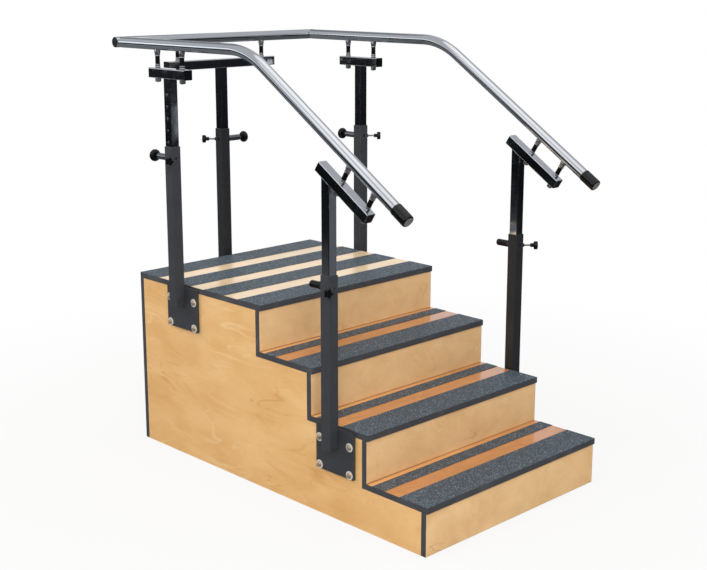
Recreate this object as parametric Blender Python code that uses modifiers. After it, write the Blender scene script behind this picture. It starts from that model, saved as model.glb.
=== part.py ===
# Rehabilitation training stairs with three height-adjustable handrails.
# Metres, +Z up. The steps go down towards +X, and left is -Y.
# The carcass is modelled with the back panel's rear face at X = 0 and the left panel's
# outer face at Y = 0. At the end everything moves so that the origin is at the bottom centre.

import math

import bmesh
import bpy
from mathutils import Matrix, Vector

# Fits
GAP = 0.0003
SCREW_FIT = 0.0003
TELESCOPE_FIT = 0.0005

# Carcass
RISER_HEIGHT = 0.150
GOING = 0.238
RISER_COUNT = 4
PLATFORM_DEPTH = 0.640
STAIR_WIDTH = 0.792
BOARD = 0.018
NOSING = 0.006
JOIST_THICKNESS = 0.018
JOIST_HEIGHT = 0.070

# Anti-slip strips
GRIP_THICKNESS = 0.001
PLATFORM_EDGE_GRIP = 0.110
PLATFORM_MID_GRIP = 0.105
MID_GRIP_COUNT = 2
TREAD_BACK_WOOD = 0.024
TREAD_BACK_GRIP = 0.050
TREAD_FRONT_GRIP = 0.110

# Post places: the rear posts' axis from the back, and the front posts' behind their tread's nosing
REAR_POST_X = 0.249
FRONT_POST_SETBACK = 0.130

# Sockets: a square outer tube welded to a bolted base plate
SOCKET_TUBE = 0.038
SOCKET_WALL = 0.0025
SOCKET_RADIUS = 0.004
SOCKET_BELOW_TREAD = 0.066
PLATE_WIDTH = 0.160
PLATE_HEIGHT = 0.145
PLATE_THICKNESS = 0.010
PLATE_TOP_DROP = 0.005
WELD_DEPTH = 0.0005
LOCK_DROP = 0.038
VIEW_HOLE_RADIUS = 0.0055

# Plate bolts
BOLT_SPACING = 0.129
BOLT_LOW = 0.013
BOLT_HIGH = 0.100
BOLT_RADIUS = 0.005
BOLT_WASHER_RADIUS = 0.0135
BOLT_WASHER = 0.002
BOLT_DOME_RADIUS = 0.0095
BOLT_DOME = 0.0065
BOLT_TAIL = 0.002
BOLT_NUT = 0.008
BOLT_NUT_RADIUS = 0.0092

# Uprights and head bars: square tube, smaller than the socket
INNER_WALL = 0.002
INNER_RADIUS = 0.003
INNER_BELOW_LOCK = 0.2267
HOLE_PITCH = 0.038
HOLES_BELOW = 3
HOLES_ABOVE = 5
PIN_HOLE_RADIUS = 0.0045
FACE_HOLE_RADIUS = 0.0033
FACE_HOLE_FIRST = 0.0139
FACE_HOLES = 5

# Handrails
RAIL_RADIUS = 0.0175
RAIL_WALL = 0.0015
RAIL_HEIGHT = 0.7845
RAIL_ABOVE_SOCKET = 0.3218
RAIL_SLOPE = math.radians(32.9)
RAIL_BEND_RADIUS = 0.280
RAIL_BEND_STEPS = 6
RAIL_FRONT_LENGTH = 0.7825
RAIL_JOIN_GAP = 0.0015
RAIL_SIDES = 20
CAP_LENGTH = 0.056
CAP_RADIUS = 0.019
CAP_END = 0.004
RAIL_PLUG = 0.012
RAIL_PLUG_INSET = 0.0005

# Head bars and rail supports, measured down from the rail's centre line
BAR_DROP = 0.0735
SIDE_BAR_HALF = 0.095
SIDE_STUD_HALF = 0.065
BACK_BAR_HALF = 0.2375
BACK_STUD_HALF = 0.188
FRONT_BAR_UPHILL = 0.030
FRONT_BAR_DOWNHILL = 0.205
FRONT_STUDS = (0.0655, 0.183)
BAR_PLUG = 0.015
BAR_WELD = 0.001
COLLAR_RADIUS = 0.010
COLLAR = 0.019
STUD_RADIUS = 0.004
STUD_ENTRY = 0.003
STUD_TAIL = 0.0015
SLEEVE_RADIUS = 0.0075
LOCK_RING_RADIUS = 0.009
LOCK_RING = 0.0117
UNDER_NUT_RADIUS = 0.00975
UNDER_NUT = 0.0122

# Spring index plungers, measured outwards from the socket's face
PIN_RADIUS = 0.004
PIN_TRAVEL = 0.008
PIN_SLACK = 0.0006
NOSE_RADIUS = 0.006
BARREL_RADIUS = 0.0105
BARREL_LENGTH = 0.056
BARREL_END = 0.008
SPRING_ROOM_START = 0.010
SPRING_ROOM_RADIUS = 0.007
PIN_COLLAR_RADIUS = 0.0064
PIN_COLLAR_START = 0.024
PIN_COLLAR = 0.003
KNOB_RADIUS = 0.020
KNOB_START = 0.066
KNOB_LENGTH = 0.024
PULL_CORE_RADIUS = 0.009
PULL_CORE_LENGTH = 0.046
PULL_CORE_END = 0.004
PULL_FLANGE = 0.003
PULL_WALL = 0.0017
PULL_START = 0.013
PULL_END_WALL = 0.0024

# Star-grip clamp screws, measured outwards from the socket's axis along its corner
CLAMP_RADIUS = 0.003
CLAMP_BOSS_RADIUS = 0.006
CLAMP_BOSS_END = 0.0285
CLAMP_HUB_START = 0.0487
CLAMP_HUB_RADIUS = 0.0065
STAR_START = 0.0602
STAR_THICKNESS = 0.013
STAR_RADIUS = 0.0124
STAR_LOBE = 0.0019
STAR_LOBES = 5
STAR_POINTS = 25

# How finely round pieces are divided
HOLE_SIDES = 8
SMALL_SIDES = 10
TINY_SIDES = 8
KNOB_SIDES = 12
CORNER_SEGMENTS = 2

# Sizes that follow from the ones above
PLATFORM_TOP = RISER_HEIGHT * RISER_COUNT
FRONT_POST_STEP = RISER_COUNT // 2
INNER_TUBE = SOCKET_TUBE - 2 * SOCKET_WALL - 2 * TELESCOPE_FIT
SOCKET_FACE = SOCKET_TUBE / 2
POST_OFFSET = SOCKET_FACE - WELD_DEPTH + PLATE_THICKNESS + GAP
RAIL_Z = PLATFORM_TOP + RAIL_HEIGHT
BAR_BOTTOM = BAR_DROP + INNER_TUBE
SOCKET_ABOVE_TREAD = RAIL_HEIGHT - RAIL_ABOVE_SOCKET
LOCK_HEIGHT = SOCKET_ABOVE_TREAD - LOCK_DROP

# Colour (linear), roughness and metallic value of each finish
FINISHES = {
    "ply_side": ((0.76, 0.47, 0.20), 0.45, 0.0),
    "ply_riser": ((0.66, 0.40, 0.19), 0.35, 0.0),
    "ply_tread": ((0.72, 0.42, 0.20), 0.25, 0.0),
    "pine": ((0.70, 0.50, 0.28), 0.70, 0.0),
    "anti_slip": ((0.07, 0.08, 0.09), 0.85, 0.0),
    "powder_coat": ((0.040, 0.042, 0.045), 0.45, 0.0),
    "chrome": ((0.72, 0.74, 0.76), 0.08, 1.0),
    "black_plastic": ((0.010, 0.010, 0.011), 0.40, 0.0),
    "rubber": ((0.012, 0.011, 0.010), 0.75, 0.0),
}


def clear_scene():
    for obj in list(bpy.data.objects):
        bpy.data.objects.remove(obj, do_unlink=True)


def new_collection(name):
    collection = bpy.data.collections.new(name)
    bpy.context.scene.collection.children.link(collection)
    return collection


clear_scene()
stairs = new_collection("rehabilitation_stairs")
cutters = new_collection("cutters")
cutters.hide_render = True


def finish(name):
    material = bpy.data.materials.get(name)
    if material is None:
        colour, roughness, metallic = FINISHES[name]
        material = bpy.data.materials.new(name)
        material.use_nodes = True
        shader = material.node_tree.nodes["Principled BSDF"]
        shader.inputs["Base Color"].default_value = (*colour, 1.0)
        shader.inputs["Roughness"].default_value = roughness
        shader.inputs["Metallic"].default_value = metallic
    return material


# Mesh helpers. Each shape is a mesh that one or more objects then use.

def mesh_from(bm):
    mesh = bpy.data.meshes.new("shape")
    bm.to_mesh(mesh)
    bm.free()
    return mesh


def smooth(mesh):
    mesh.shade_smooth()
    mesh.set_sharp_from_angle(angle=math.radians(35))
    return mesh


def helper(mesh, matrix=None):
    obj = bpy.data.objects.new("helper", mesh)
    obj.hide_render = True
    obj.display_type = "WIRE"
    cutters.objects.link(obj)
    if matrix is not None:
        obj.matrix_world = matrix
    return obj


def settled(obj):
    # The mesh of an object with its modifiers applied, and the object removed
    graph = bpy.context.evaluated_depsgraph_get()
    mesh = bpy.data.meshes.new_from_object(obj.evaluated_get(graph))
    for modifier in list(obj.modifiers):
        if modifier.type == "BOOLEAN":
            bpy.data.objects.remove(modifier.object, do_unlink=True)
    bpy.data.objects.remove(obj, do_unlink=True)
    return mesh


def add_boolean(obj, other, operation="DIFFERENCE"):
    modifier = obj.modifiers.new(operation.lower(), "BOOLEAN")
    modifier.operation = operation
    modifier.object = other


def box(low, high):
    low, high = Vector(low), Vector(high)
    bm = bmesh.new()
    bmesh.ops.create_cube(bm, size=1)
    bmesh.ops.scale(bm, vec=high - low, verts=bm.verts)
    bmesh.ops.translate(bm, vec=(low + high) / 2, verts=bm.verts)
    return mesh_from(bm)


def square_bar(width, radius, bottom, top):
    # A square bar along Z with rounded corners
    bm = bmesh.new()
    bmesh.ops.create_cube(bm, size=1)
    bmesh.ops.scale(bm, vec=(width, width, top - bottom), verts=bm.verts)
    bmesh.ops.translate(bm, vec=(0, 0, (top + bottom) / 2), verts=bm.verts)
    upright = [e for e in bm.edges if abs(e.verts[0].co.z - e.verts[1].co.z) > (top - bottom) / 2]
    bmesh.ops.bevel(bm, geom=upright, offset=radius, segments=CORNER_SEGMENTS, profile=0.5,
                    affect="EDGES")
    return mesh_from(bm)


def square_tube(width, wall, radius, bottom, top):
    tube = helper(square_bar(width, radius, bottom, top))
    hollow = square_bar(width - 2 * wall, radius - wall, bottom - wall, top + wall)
    add_boolean(tube, helper(hollow))
    return settled(tube)


def cylinder(radius, bottom, top, sides):
    bm = bmesh.new()
    bmesh.ops.create_cone(bm, cap_ends=True, segments=sides, radius1=radius, radius2=radius,
                          depth=top - bottom)
    bmesh.ops.translate(bm, vec=(0, 0, (top + bottom) / 2), verts=bm.verts)
    return mesh_from(bm)


def turned(profile, sides):
    # A profile of (radius, height) points, down the outer side, turned about Z.
    # One that starts off the axis is a ring, and runs back up its inner side.
    points = [(radius, 0, height) for radius, height in profile]
    edges = [(i, i + 1) for i in range(len(points) - 1)]
    if profile[0][0] > 0:
        edges.append((len(points) - 1, 0))
    mesh = bpy.data.meshes.new("profile")
    mesh.from_pydata(points, edges, [])
    obj = helper(mesh)
    screw = obj.modifiers.new("turn", "SCREW")
    screw.steps = screw.render_steps = sides
    screw.use_merge_vertices = True
    screw.merge_threshold = 0.00001
    return smooth(settled(obj))


def extruded(outline, thickness):
    # A flat outline in X and Y, extruded both ways along Z
    curve = bpy.data.curves.new("outline", "CURVE")
    curve.dimensions = "2D"
    curve.fill_mode = "BOTH"
    curve.extrude = thickness / 2
    spline = curve.splines.new("POLY")
    spline.points.add(len(outline) - 1)
    for point, (x, y) in zip(spline.points, outline):
        point.co = (x, y, 0, 1)
    spline.use_cyclic_u = True
    return welded(settled(helper(curve)))


def welded(mesh):
    bm = bmesh.new()
    bm.from_mesh(mesh)
    bmesh.ops.remove_doubles(bm, verts=bm.verts, dist=0.00001)
    bm.to_mesh(mesh)
    bm.free()
    return mesh


def pipe(points, radius, wall, sides):
    # An open tube along a route. A bevelled curve has four sides, and two more per resolution step.
    curve = bpy.data.curves.new("route", "CURVE")
    curve.dimensions = "3D"
    curve.bevel_depth = radius
    curve.bevel_resolution = (sides - 4) // 2
    spline = curve.splines.new("POLY")
    spline.points.add(len(points) - 1)
    for point, place in zip(spline.points, points):
        point.co = (*place, 1)
    obj = helper(welded(settled(helper(curve))))
    shell = obj.modifiers.new("wall", "SOLIDIFY")
    shell.thickness = wall
    shell.offset = -1
    return smooth(settled(obj))


def repeated(mesh, frames):
    # One cutter or set of bosses, with a copy of the shape in each frame
    bm = bmesh.new()
    for frame in frames:
        copy = mesh.copy()
        copy.transform(frame)
        if frame.determinant() < 0:
            copy.flip_normals()
        bm.from_mesh(copy)
        bpy.data.meshes.remove(copy)
    return mesh_from(bm)


def aim(place, direction):
    # Local Z points along the direction
    turn = Vector(direction).to_track_quat("Z", "Y").to_matrix().to_4x4()
    return Matrix.Translation(place) @ turn


def add_part(name, mesh, finish_name, matrix=None, parent=None):
    mesh.materials.clear()
    mesh.materials.append(finish(finish_name))
    obj = bpy.data.objects.new(name, mesh)
    stairs.objects.link(obj)
    obj.parent = parent or root
    obj.matrix_world = matrix or Matrix.Identity(4)
    return obj


def add_empty(name, place, parent=None):
    obj = bpy.data.objects.new(name, None)
    obj.empty_display_size = 0.05
    stairs.objects.link(obj)
    obj.parent = parent
    obj.matrix_world = Matrix.Translation(place)
    bpy.context.view_layer.update()
    return obj


root = add_empty("stairs_origin", (0, 0, 0))


# Places that the carcass and the handrails share

def nosing_x(step):
    return PLATFORM_DEPTH + (RISER_COUNT - step) * GOING


def riser_x(step):
    # The front face of the riser board under this step's nosing
    return nosing_x(step) - NOSING


def step_top(step):
    return step * RISER_HEIGHT


front_post_x = nosing_x(FRONT_POST_STEP) - FRONT_POST_SETBACK
left_y = -POST_OFFSET
right_y = STAIR_WIDTH + POST_OFFSET
middle_y = STAIR_WIDTH / 2

rail_parents = {
    "left": add_empty("left_handrail", (REAR_POST_X, left_y, PLATFORM_TOP), root),
    "right": add_empty("right_handrail", (REAR_POST_X, right_y, PLATFORM_TOP), root),
    "back": add_empty("back_handrail", (-POST_OFFSET, middle_y, PLATFORM_TOP), root),
}


class Post:
    # Local axes: the origin is on the post's axis at tread height, local +Y faces the carcass,
    # the plunger is on local -X and the clamp screw on the corner between +X and -Y.
    def __init__(self, name, rail, place, turn, mirror):
        self.name = name
        self.rail = rail
        self.parent = rail_parents[rail]
        self.x, self.y, self.step = place
        self.spin = Matrix.Rotation(math.radians(turn), 4, "Z") @ Matrix.Diagonal((1, mirror, 1, 1))
        self.frame = Matrix.Translation((self.x, self.y, step_top(self.step))) @ self.spin
        self.set_bar(SIDE_BAR_HALF, SIDE_BAR_HALF, (-SIDE_STUD_HALF, SIDE_STUD_HALF), 0)
        self.pull_cap = False
        self.face_holes = False

    def set_bar(self, uphill, downhill, studs, tilt):
        # Local X of the rail frame runs along the rail, and its Z square to it.
        # The foot is where the post's axis meets the head bar's top face.
        drop = max(0.0, self.x - PLATFORM_DEPTH) * math.tan(tilt)
        place = Matrix.Translation((self.x, self.y, RAIL_Z - drop))
        self.rail_frame = place @ self.spin @ Matrix.Rotation(tilt, 4, "Y")
        foot = BAR_DROP * math.tan(tilt)
        self.bar_start = foot - uphill
        self.bar_end = foot + downhill
        self.stud_frames = [self.rail_frame @ Matrix.Translation((foot + x, 0, 0)) for x in studs]


left_rear = Post("left_rear", "left", (REAR_POST_X, left_y, RISER_COUNT), 0, 1)
left_front = Post("left_front", "left", (front_post_x, left_y, FRONT_POST_STEP), 0, 1)
back = Post("back", "back", (-POST_OFFSET, middle_y, RISER_COUNT), -90, 1)
right_rear = Post("right_rear", "right", (REAR_POST_X, right_y, RISER_COUNT), 0, -1)
right_front = Post("right_front", "right", (front_post_x, right_y, FRONT_POST_STEP), 0, -1)
posts = [left_rear, left_front, back, right_rear, right_front]

left_rear.face_holes = True
back.set_bar(BACK_BAR_HALF, BACK_BAR_HALF, (-BACK_STUD_HALF, BACK_STUD_HALF), 0)
for post in (left_front, right_front):
    post.set_bar(FRONT_BAR_UPHILL, FRONT_BAR_DOWNHILL, FRONT_STUDS, RAIL_SLOPE)
    post.pull_cap = True


# Carcass

plate_face = SOCKET_FACE - WELD_DEPTH
plate_bottom = -PLATE_TOP_DROP - PLATE_HEIGHT


def bolt_frames():
    # Local Z of each frame points out of the plate, from its outer face
    frames = []
    for x in (-BOLT_SPACING / 2, BOLT_SPACING / 2):
        for z in (plate_bottom + BOLT_LOW, plate_bottom + BOLT_HIGH):
            frames.append(aim((x, plate_face, z), (0, -1, 0)))
    return frames


def drill_for_bolts(panel, rail):
    depth = PLATE_THICKNESS + 2 * BOARD
    drill = cylinder(BOLT_RADIUS + SCREW_FIT, -depth, 0, HOLE_SIDES)
    frames = [post.frame @ frame for post in posts if post.rail == rail for frame in bolt_frames()]
    drills = helper(repeated(drill, frames))
    drills.parent = root
    add_boolean(panel, drills)


def side_outline():
    # The stair shape that stands inside the back panel and the risers, under the treads
    start = BOARD + GAP
    outline = [(start, 0), (start, step_top(RISER_COUNT) - BOARD - GAP)]
    for step in range(RISER_COUNT, 0, -1):
        x = riser_x(step) - BOARD - GAP
        below = step_top(step - 1) - BOARD - GAP if step > 1 else 0
        outline += [(x, step_top(step) - BOARD - GAP), (x, below)]
    return outline


def make_panels():
    for rail, y in (("left", BOARD / 2), ("right", STAIR_WIDTH - BOARD / 2)):
        upright = Matrix.Translation((0, y, 0)) @ Matrix.Rotation(math.radians(90), 4, "X")
        mesh = extruded(side_outline(), BOARD)
        panel = add_part(f"side_panel_{rail}", mesh, "ply_side", upright)
        drill_for_bolts(panel, rail)
    height = PLATFORM_TOP - BOARD - GAP
    panel = add_part("back_panel", box((0, 0, 0), (BOARD, STAIR_WIDTH, height)), "ply_side")
    drill_for_bolts(panel, "back")


def make_steps():
    for step in range(1, RISER_COUNT + 1):
        face = riser_x(step)
        bottom = step_top(step - 1) + GAP if step > 1 else 0
        low = (face - BOARD, 0, bottom)
        high = (face, STAIR_WIDTH, step_top(step) - BOARD - GAP)
        add_part(f"riser_{step}", box(low, high), "ply_riser")
    for step in range(1, RISER_COUNT):
        low = (riser_x(step + 1) - BOARD, 0, step_top(step) - BOARD)
        high = (nosing_x(step), STAIR_WIDTH, step_top(step))
        add_part(f"tread_{step}", box(low, high), "ply_tread")
    low = (0, 0, PLATFORM_TOP - BOARD)
    add_part("platform_board", box(low, (PLATFORM_DEPTH, STAIR_WIDTH, PLATFORM_TOP)), "ply_tread")


def make_joist():
    # Under the platform, between the rear posts' bolts
    inside = BOARD + GAP
    top = PLATFORM_TOP - BOARD - GAP
    low = (REAR_POST_X - JOIST_THICKNESS / 2, inside, top - JOIST_HEIGHT)
    high = (REAR_POST_X + JOIST_THICKNESS / 2, STAIR_WIDTH - inside, top)
    add_part("platform_joist", box(low, high), "pine")


def add_grip(name, start, end, top):
    strip = box((start, 0, top + GAP), (end, STAIR_WIDTH, top + GAP + GRIP_THICKNESS))
    add_part(name, strip, "anti_slip")


def make_grip_strips():
    widths = [PLATFORM_EDGE_GRIP, *[PLATFORM_MID_GRIP] * MID_GRIP_COUNT, PLATFORM_EDGE_GRIP]
    wood = (PLATFORM_DEPTH - sum(widths)) / (len(widths) - 1)
    start = 0
    for number, width in enumerate(widths, 1):
        add_grip(f"grip_platform_{number}", start, start + width, PLATFORM_TOP)
        start += width + wood
    for step in range(1, RISER_COUNT):
        back_edge = riser_x(step + 1) + TREAD_BACK_WOOD
        front_edge = nosing_x(step)
        top = step_top(step)
        add_grip(f"grip_tread_{step}_back", back_edge, back_edge + TREAD_BACK_GRIP, top)
        add_grip(f"grip_tread_{step}_front", front_edge - TREAD_FRONT_GRIP, front_edge, top)


# Spring index plungers. Local Z points out of the socket, from its face.

pin_tip = -SOCKET_WALL - TELESCOPE_FIT + PIN_SLACK
pin_bore = PIN_RADIUS + SCREW_FIT
plunger_frame = aim((-SOCKET_FACE, 0, LOCK_HEIGHT), (-1, 0, 0))


def plunger_hollow(end, end_wall):
    # The pin's bore and the spring's room, as a cutter
    beyond = SOCKET_WALL * 2
    room_end = end - end_wall
    profile = [
        (0, end + beyond),
        (pin_bore, end + beyond),
        (pin_bore, room_end),
        (SPRING_ROOM_RADIUS, room_end),
        (SPRING_ROOM_RADIUS, SPRING_ROOM_START),
        (pin_bore, SPRING_ROOM_START),
        (pin_bore, -beyond),
        (0, -beyond),
    ]
    return turned(profile, SMALL_SIDES)


def barrel_mesh():
    nose_end = -SOCKET_WALL + GAP
    profile = [
        (0, BARREL_LENGTH),
        (BARREL_RADIUS, BARREL_LENGTH),
        (BARREL_RADIUS, GAP),
        (NOSE_RADIUS, GAP),
        (NOSE_RADIUS, nose_end),
        (0, nose_end),
    ]
    barrel = helper(turned(profile, SMALL_SIDES))
    add_boolean(barrel, helper(plunger_hollow(BARREL_LENGTH, BARREL_END)))
    return smooth(settled(barrel))


def pull_core():
    # The fixed core inside a pull cap, welded to the socket
    profile = [
        (0, PULL_CORE_LENGTH),
        (PULL_CORE_RADIUS, PULL_CORE_LENGTH),
        (PULL_CORE_RADIUS, PULL_FLANGE),
        (BARREL_RADIUS, PULL_FLANGE),
        (BARREL_RADIUS, -WELD_DEPTH),
        (0, -WELD_DEPTH),
    ]
    return turned(profile, SMALL_SIDES)


def pin_foot():
    # The collar that the spring pushes on, and the locking tip
    collar_end = PIN_COLLAR_START + PIN_COLLAR
    chamfer = PIN_RADIUS / 5
    return [
        (PIN_RADIUS, collar_end),
        (PIN_COLLAR_RADIUS, collar_end),
        (PIN_COLLAR_RADIUS, PIN_COLLAR_START),
        (PIN_RADIUS, PIN_COLLAR_START),
        (PIN_RADIUS, pin_tip + chamfer),
        (PIN_RADIUS - chamfer, pin_tip),
        (0, pin_tip),
    ]


def knob_pin_mesh():
    top = KNOB_START + KNOB_LENGTH
    profile = [
        (0, top),
        (KNOB_RADIUS * 0.6, top - KNOB_LENGTH * 0.08),
        (KNOB_RADIUS * 0.93, top - KNOB_LENGTH * 0.30),
        (KNOB_RADIUS, top - KNOB_LENGTH * 0.5),
        (KNOB_RADIUS * 0.85, top - KNOB_LENGTH * 0.8),
        (KNOB_RADIUS * 0.5, KNOB_START),
        (PIN_RADIUS, KNOB_START),
        *pin_foot(),
    ]
    return turned(profile, KNOB_SIDES)


def pull_cap_mesh():
    bore = PULL_CORE_RADIUS + SCREW_FIT
    outside = bore + PULL_WALL
    inner_end = PULL_CORE_LENGTH + PIN_TRAVEL + PIN_SLACK
    end = inner_end + PULL_END_WALL
    profile = [
        (0, end),
        (outside * 0.75, end),
        (outside, end - PULL_END_WALL),
        (outside, PULL_START),
        (bore, PULL_START),
        (bore, inner_end),
        (PIN_RADIUS, inner_end),
        *pin_foot(),
    ]
    return turned(profile, SMALL_SIDES)


def make_plungers():
    knob_pin, pull_cap, barrel = knob_pin_mesh(), pull_cap_mesh(), barrel_mesh()
    for post in posts:
        place = post.frame @ plunger_frame
        if post.pull_cap:
            add_part(f"plunger_{post.name}", pull_cap, "black_plastic", place)
        else:
            add_part(f"plunger_{post.name}", knob_pin, "black_plastic", place)
            add_part(f"plunger_barrel_{post.name}", barrel, "powder_coat", place)


# Star-grip clamp screws. Local Z points out of the socket's corner, from its axis.

clamp_frame = aim((0, 0, LOCK_HEIGHT), Vector((1, -1, 0)).normalized())


def clamp_mesh():
    corner_reach = (INNER_TUBE / 2 - INNER_RADIUS) * math.sqrt(2) + INNER_RADIUS
    tip = corner_reach + GAP
    middle = STAR_START + STAR_THICKNESS / 2
    profile = [
        (0, middle),
        (CLAMP_HUB_RADIUS, middle),
        (CLAMP_HUB_RADIUS, CLAMP_HUB_START),
        (CLAMP_RADIUS, CLAMP_HUB_START),
        (CLAMP_RADIUS, tip),
        (0, tip),
    ]
    clamp = helper(turned(profile, SMALL_SIDES))
    outline = []
    for i in range(STAR_POINTS):
        angle = 2 * math.pi * i / STAR_POINTS
        radius = STAR_RADIUS + STAR_LOBE * math.cos(STAR_LOBES * angle)
        outline.append((radius * math.cos(angle), radius * math.sin(angle)))
    star = helper(extruded(outline, STAR_THICKNESS), Matrix.Translation((0, 0, middle)))
    add_boolean(clamp, star, "UNION")
    return smooth(settled(clamp))


def make_clamps():
    clamp = clamp_mesh()
    for post in posts:
        add_part(f"clamp_{post.name}", clamp, "black_plastic", post.frame @ clamp_frame)


# Sockets, with their plate bolts

def add_bolts(socket):
    head = BOLT_WASHER + BOLT_DOME
    nut_top = -PLATE_THICKNESS - BOARD - 2 * GAP
    tail = nut_top - BOLT_NUT - BOLT_TAIL
    profile = [
        (0, head),
        (BOLT_DOME_RADIUS * 0.7, BOLT_WASHER + BOLT_DOME * 0.7),
        (BOLT_DOME_RADIUS, BOLT_WASHER),
        (BOLT_WASHER_RADIUS, BOLT_WASHER),
        (BOLT_WASHER_RADIUS, -WELD_DEPTH),
        (BOLT_RADIUS, -WELD_DEPTH),
        (BOLT_RADIUS, tail),
        (0, tail),
    ]
    add_boolean(socket, helper(repeated(turned(profile, TINY_SIDES), bolt_frames())), "UNION")
    nut = cylinder(BOLT_NUT_RADIUS, nut_top - BOLT_NUT, nut_top, 6)
    add_boolean(socket, helper(repeated(nut, bolt_frames())), "UNION")


def socket_mesh(with_pull_core):
    low, high = -SOCKET_BELOW_TREAD, SOCKET_ABOVE_TREAD
    bore = SOCKET_TUBE - 2 * SOCKET_WALL
    socket = helper(square_bar(SOCKET_TUBE, SOCKET_RADIUS, low, high))
    plate_low = (-PLATE_WIDTH / 2, plate_face, plate_bottom)
    plate_high = (PLATE_WIDTH / 2, plate_face + PLATE_THICKNESS, -PLATE_TOP_DROP)
    add_boolean(socket, helper(box(plate_low, plate_high)), "UNION")
    boss = cylinder(CLAMP_BOSS_RADIUS, SOCKET_FACE, CLAMP_BOSS_END, SMALL_SIDES)
    add_boolean(socket, helper(boss, clamp_frame), "UNION")
    if with_pull_core:
        add_boolean(socket, helper(pull_core(), plunger_frame), "UNION")
        nose = plunger_hollow(PULL_CORE_LENGTH, PULL_CORE_END)
    else:
        nose = cylinder(NOSE_RADIUS + SCREW_FIT, -SOCKET_WALL * 2, SOCKET_WALL, SMALL_SIDES)
    hollow = square_bar(bore, SOCKET_RADIUS - SOCKET_WALL, low - SOCKET_WALL, high + SOCKET_WALL)
    add_boolean(socket, helper(hollow))
    add_boolean(socket, helper(nose, plunger_frame))
    clamp_hole = cylinder(CLAMP_RADIUS + SCREW_FIT, bore / 2, CLAMP_BOSS_END * 1.1, HOLE_SIDES)
    add_boolean(socket, helper(clamp_hole, clamp_frame))
    view_hole = cylinder(VIEW_HOLE_RADIUS, SOCKET_FACE / 2, SOCKET_TUBE, SMALL_SIDES)
    add_boolean(socket, helper(view_hole, aim((0, 0, LOCK_HEIGHT), (1, 0, 0))))
    add_bolts(socket)
    return smooth(welded(settled(socket)))


def make_sockets():
    knob_socket, pull_socket = socket_mesh(False), socket_mesh(True)
    for post in posts:
        mesh = pull_socket if post.pull_cap else knob_socket
        add_part(f"socket_{post.name}", mesh, "powder_coat", post.frame)


# Uprights: the inner tube with its head bar welded on top, and plugs closing the bar

def head_bar(post):
    along_x = aim((0, 0, -BAR_DROP - INNER_TUBE / 2), (1, 0, 0))
    bar = square_bar(INNER_TUBE, INNER_RADIUS, post.bar_start, post.bar_end)
    bore = INNER_TUBE - 2 * INNER_WALL
    hollow = square_bar(bore, INNER_RADIUS - INNER_WALL, post.bar_start + BAR_PLUG,
                        post.bar_end - BAR_PLUG)
    drill = cylinder(STUD_RADIUS + SCREW_FIT, -BAR_BOTTOM - INNER_WALL, 0, HOLE_SIDES)
    obj = helper(bar, post.rail_frame @ along_x)
    add_boolean(obj, helper(hollow, post.rail_frame @ along_x))
    add_boolean(obj, helper(repeated(drill, post.stud_frames)))
    place = obj.matrix_world.copy()
    mesh = settled(obj)
    mesh.transform(post.frame.inverted() @ place)
    return mesh


def make_upright(post):
    bottom = LOCK_HEIGHT - INNER_BELOW_LOCK
    top = RAIL_Z - post.frame.translation.z
    tube = helper(square_tube(INNER_TUBE, INNER_WALL, INNER_RADIUS, bottom, top))
    # The tube ends inside the bar's lower wall, level or sloped
    reach = BACK_BAR_HALF * 2
    above_bar = box((-reach, -reach, BAR_WELD - BAR_BOTTOM), (reach, reach, reach))
    add_boolean(tube, helper(above_bar, post.frame.inverted() @ post.rail_frame))
    heights = [LOCK_HEIGHT + HOLE_PITCH * k for k in range(-HOLES_BELOW, HOLES_ABOVE + 1)]
    pin_hole = cylinder(PIN_HOLE_RADIUS, 0, INNER_TUBE, HOLE_SIDES)
    add_boolean(tube, helper(repeated(pin_hole, [aim((0, 0, z), (-1, 0, 0)) for z in heights])))
    if post.face_holes:
        first = SOCKET_ABOVE_TREAD + FACE_HOLE_FIRST
        heights = [first + HOLE_PITCH * k for k in range(FACE_HOLES)]
        face_hole = cylinder(FACE_HOLE_RADIUS, 0, INNER_TUBE, HOLE_SIDES)
        add_boolean(tube, helper(repeated(face_hole, [aim((0, 0, z), (0, -1, 0)) for z in heights])))
    add_boolean(tube, helper(head_bar(post)), "UNION")
    add_part(f"upright_{post.name}", smooth(settled(tube)), "chrome", post.frame, post.parent)


# Rails, their end caps and their supports

down_slope = Vector((math.cos(RAIL_SLOPE), 0, -math.sin(RAIL_SLOPE)))
rail_front_end = Vector((PLATFORM_DEPTH, 0, RAIL_Z)) + down_slope * RAIL_FRONT_LENGTH
rail_rear_end = Vector((-POST_OFFSET + RAIL_RADIUS + RAIL_JOIN_GAP, 0, RAIL_Z))
back_rail_half = middle_y + POST_OFFSET + RAIL_RADIUS


def side_rail_route():
    tangent = RAIL_BEND_RADIUS * math.tan(RAIL_SLOPE / 2)
    centre_x = PLATFORM_DEPTH - tangent
    centre_z = RAIL_Z - RAIL_BEND_RADIUS
    points = [rail_rear_end]
    for i in range(RAIL_BEND_STEPS + 1):
        angle = RAIL_SLOPE * i / RAIL_BEND_STEPS
        x = centre_x + RAIL_BEND_RADIUS * math.sin(angle)
        points.append(Vector((x, 0, centre_z + RAIL_BEND_RADIUS * math.cos(angle))))
    points.append(rail_front_end - down_slope * (CAP_END + GAP))
    return points


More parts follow.
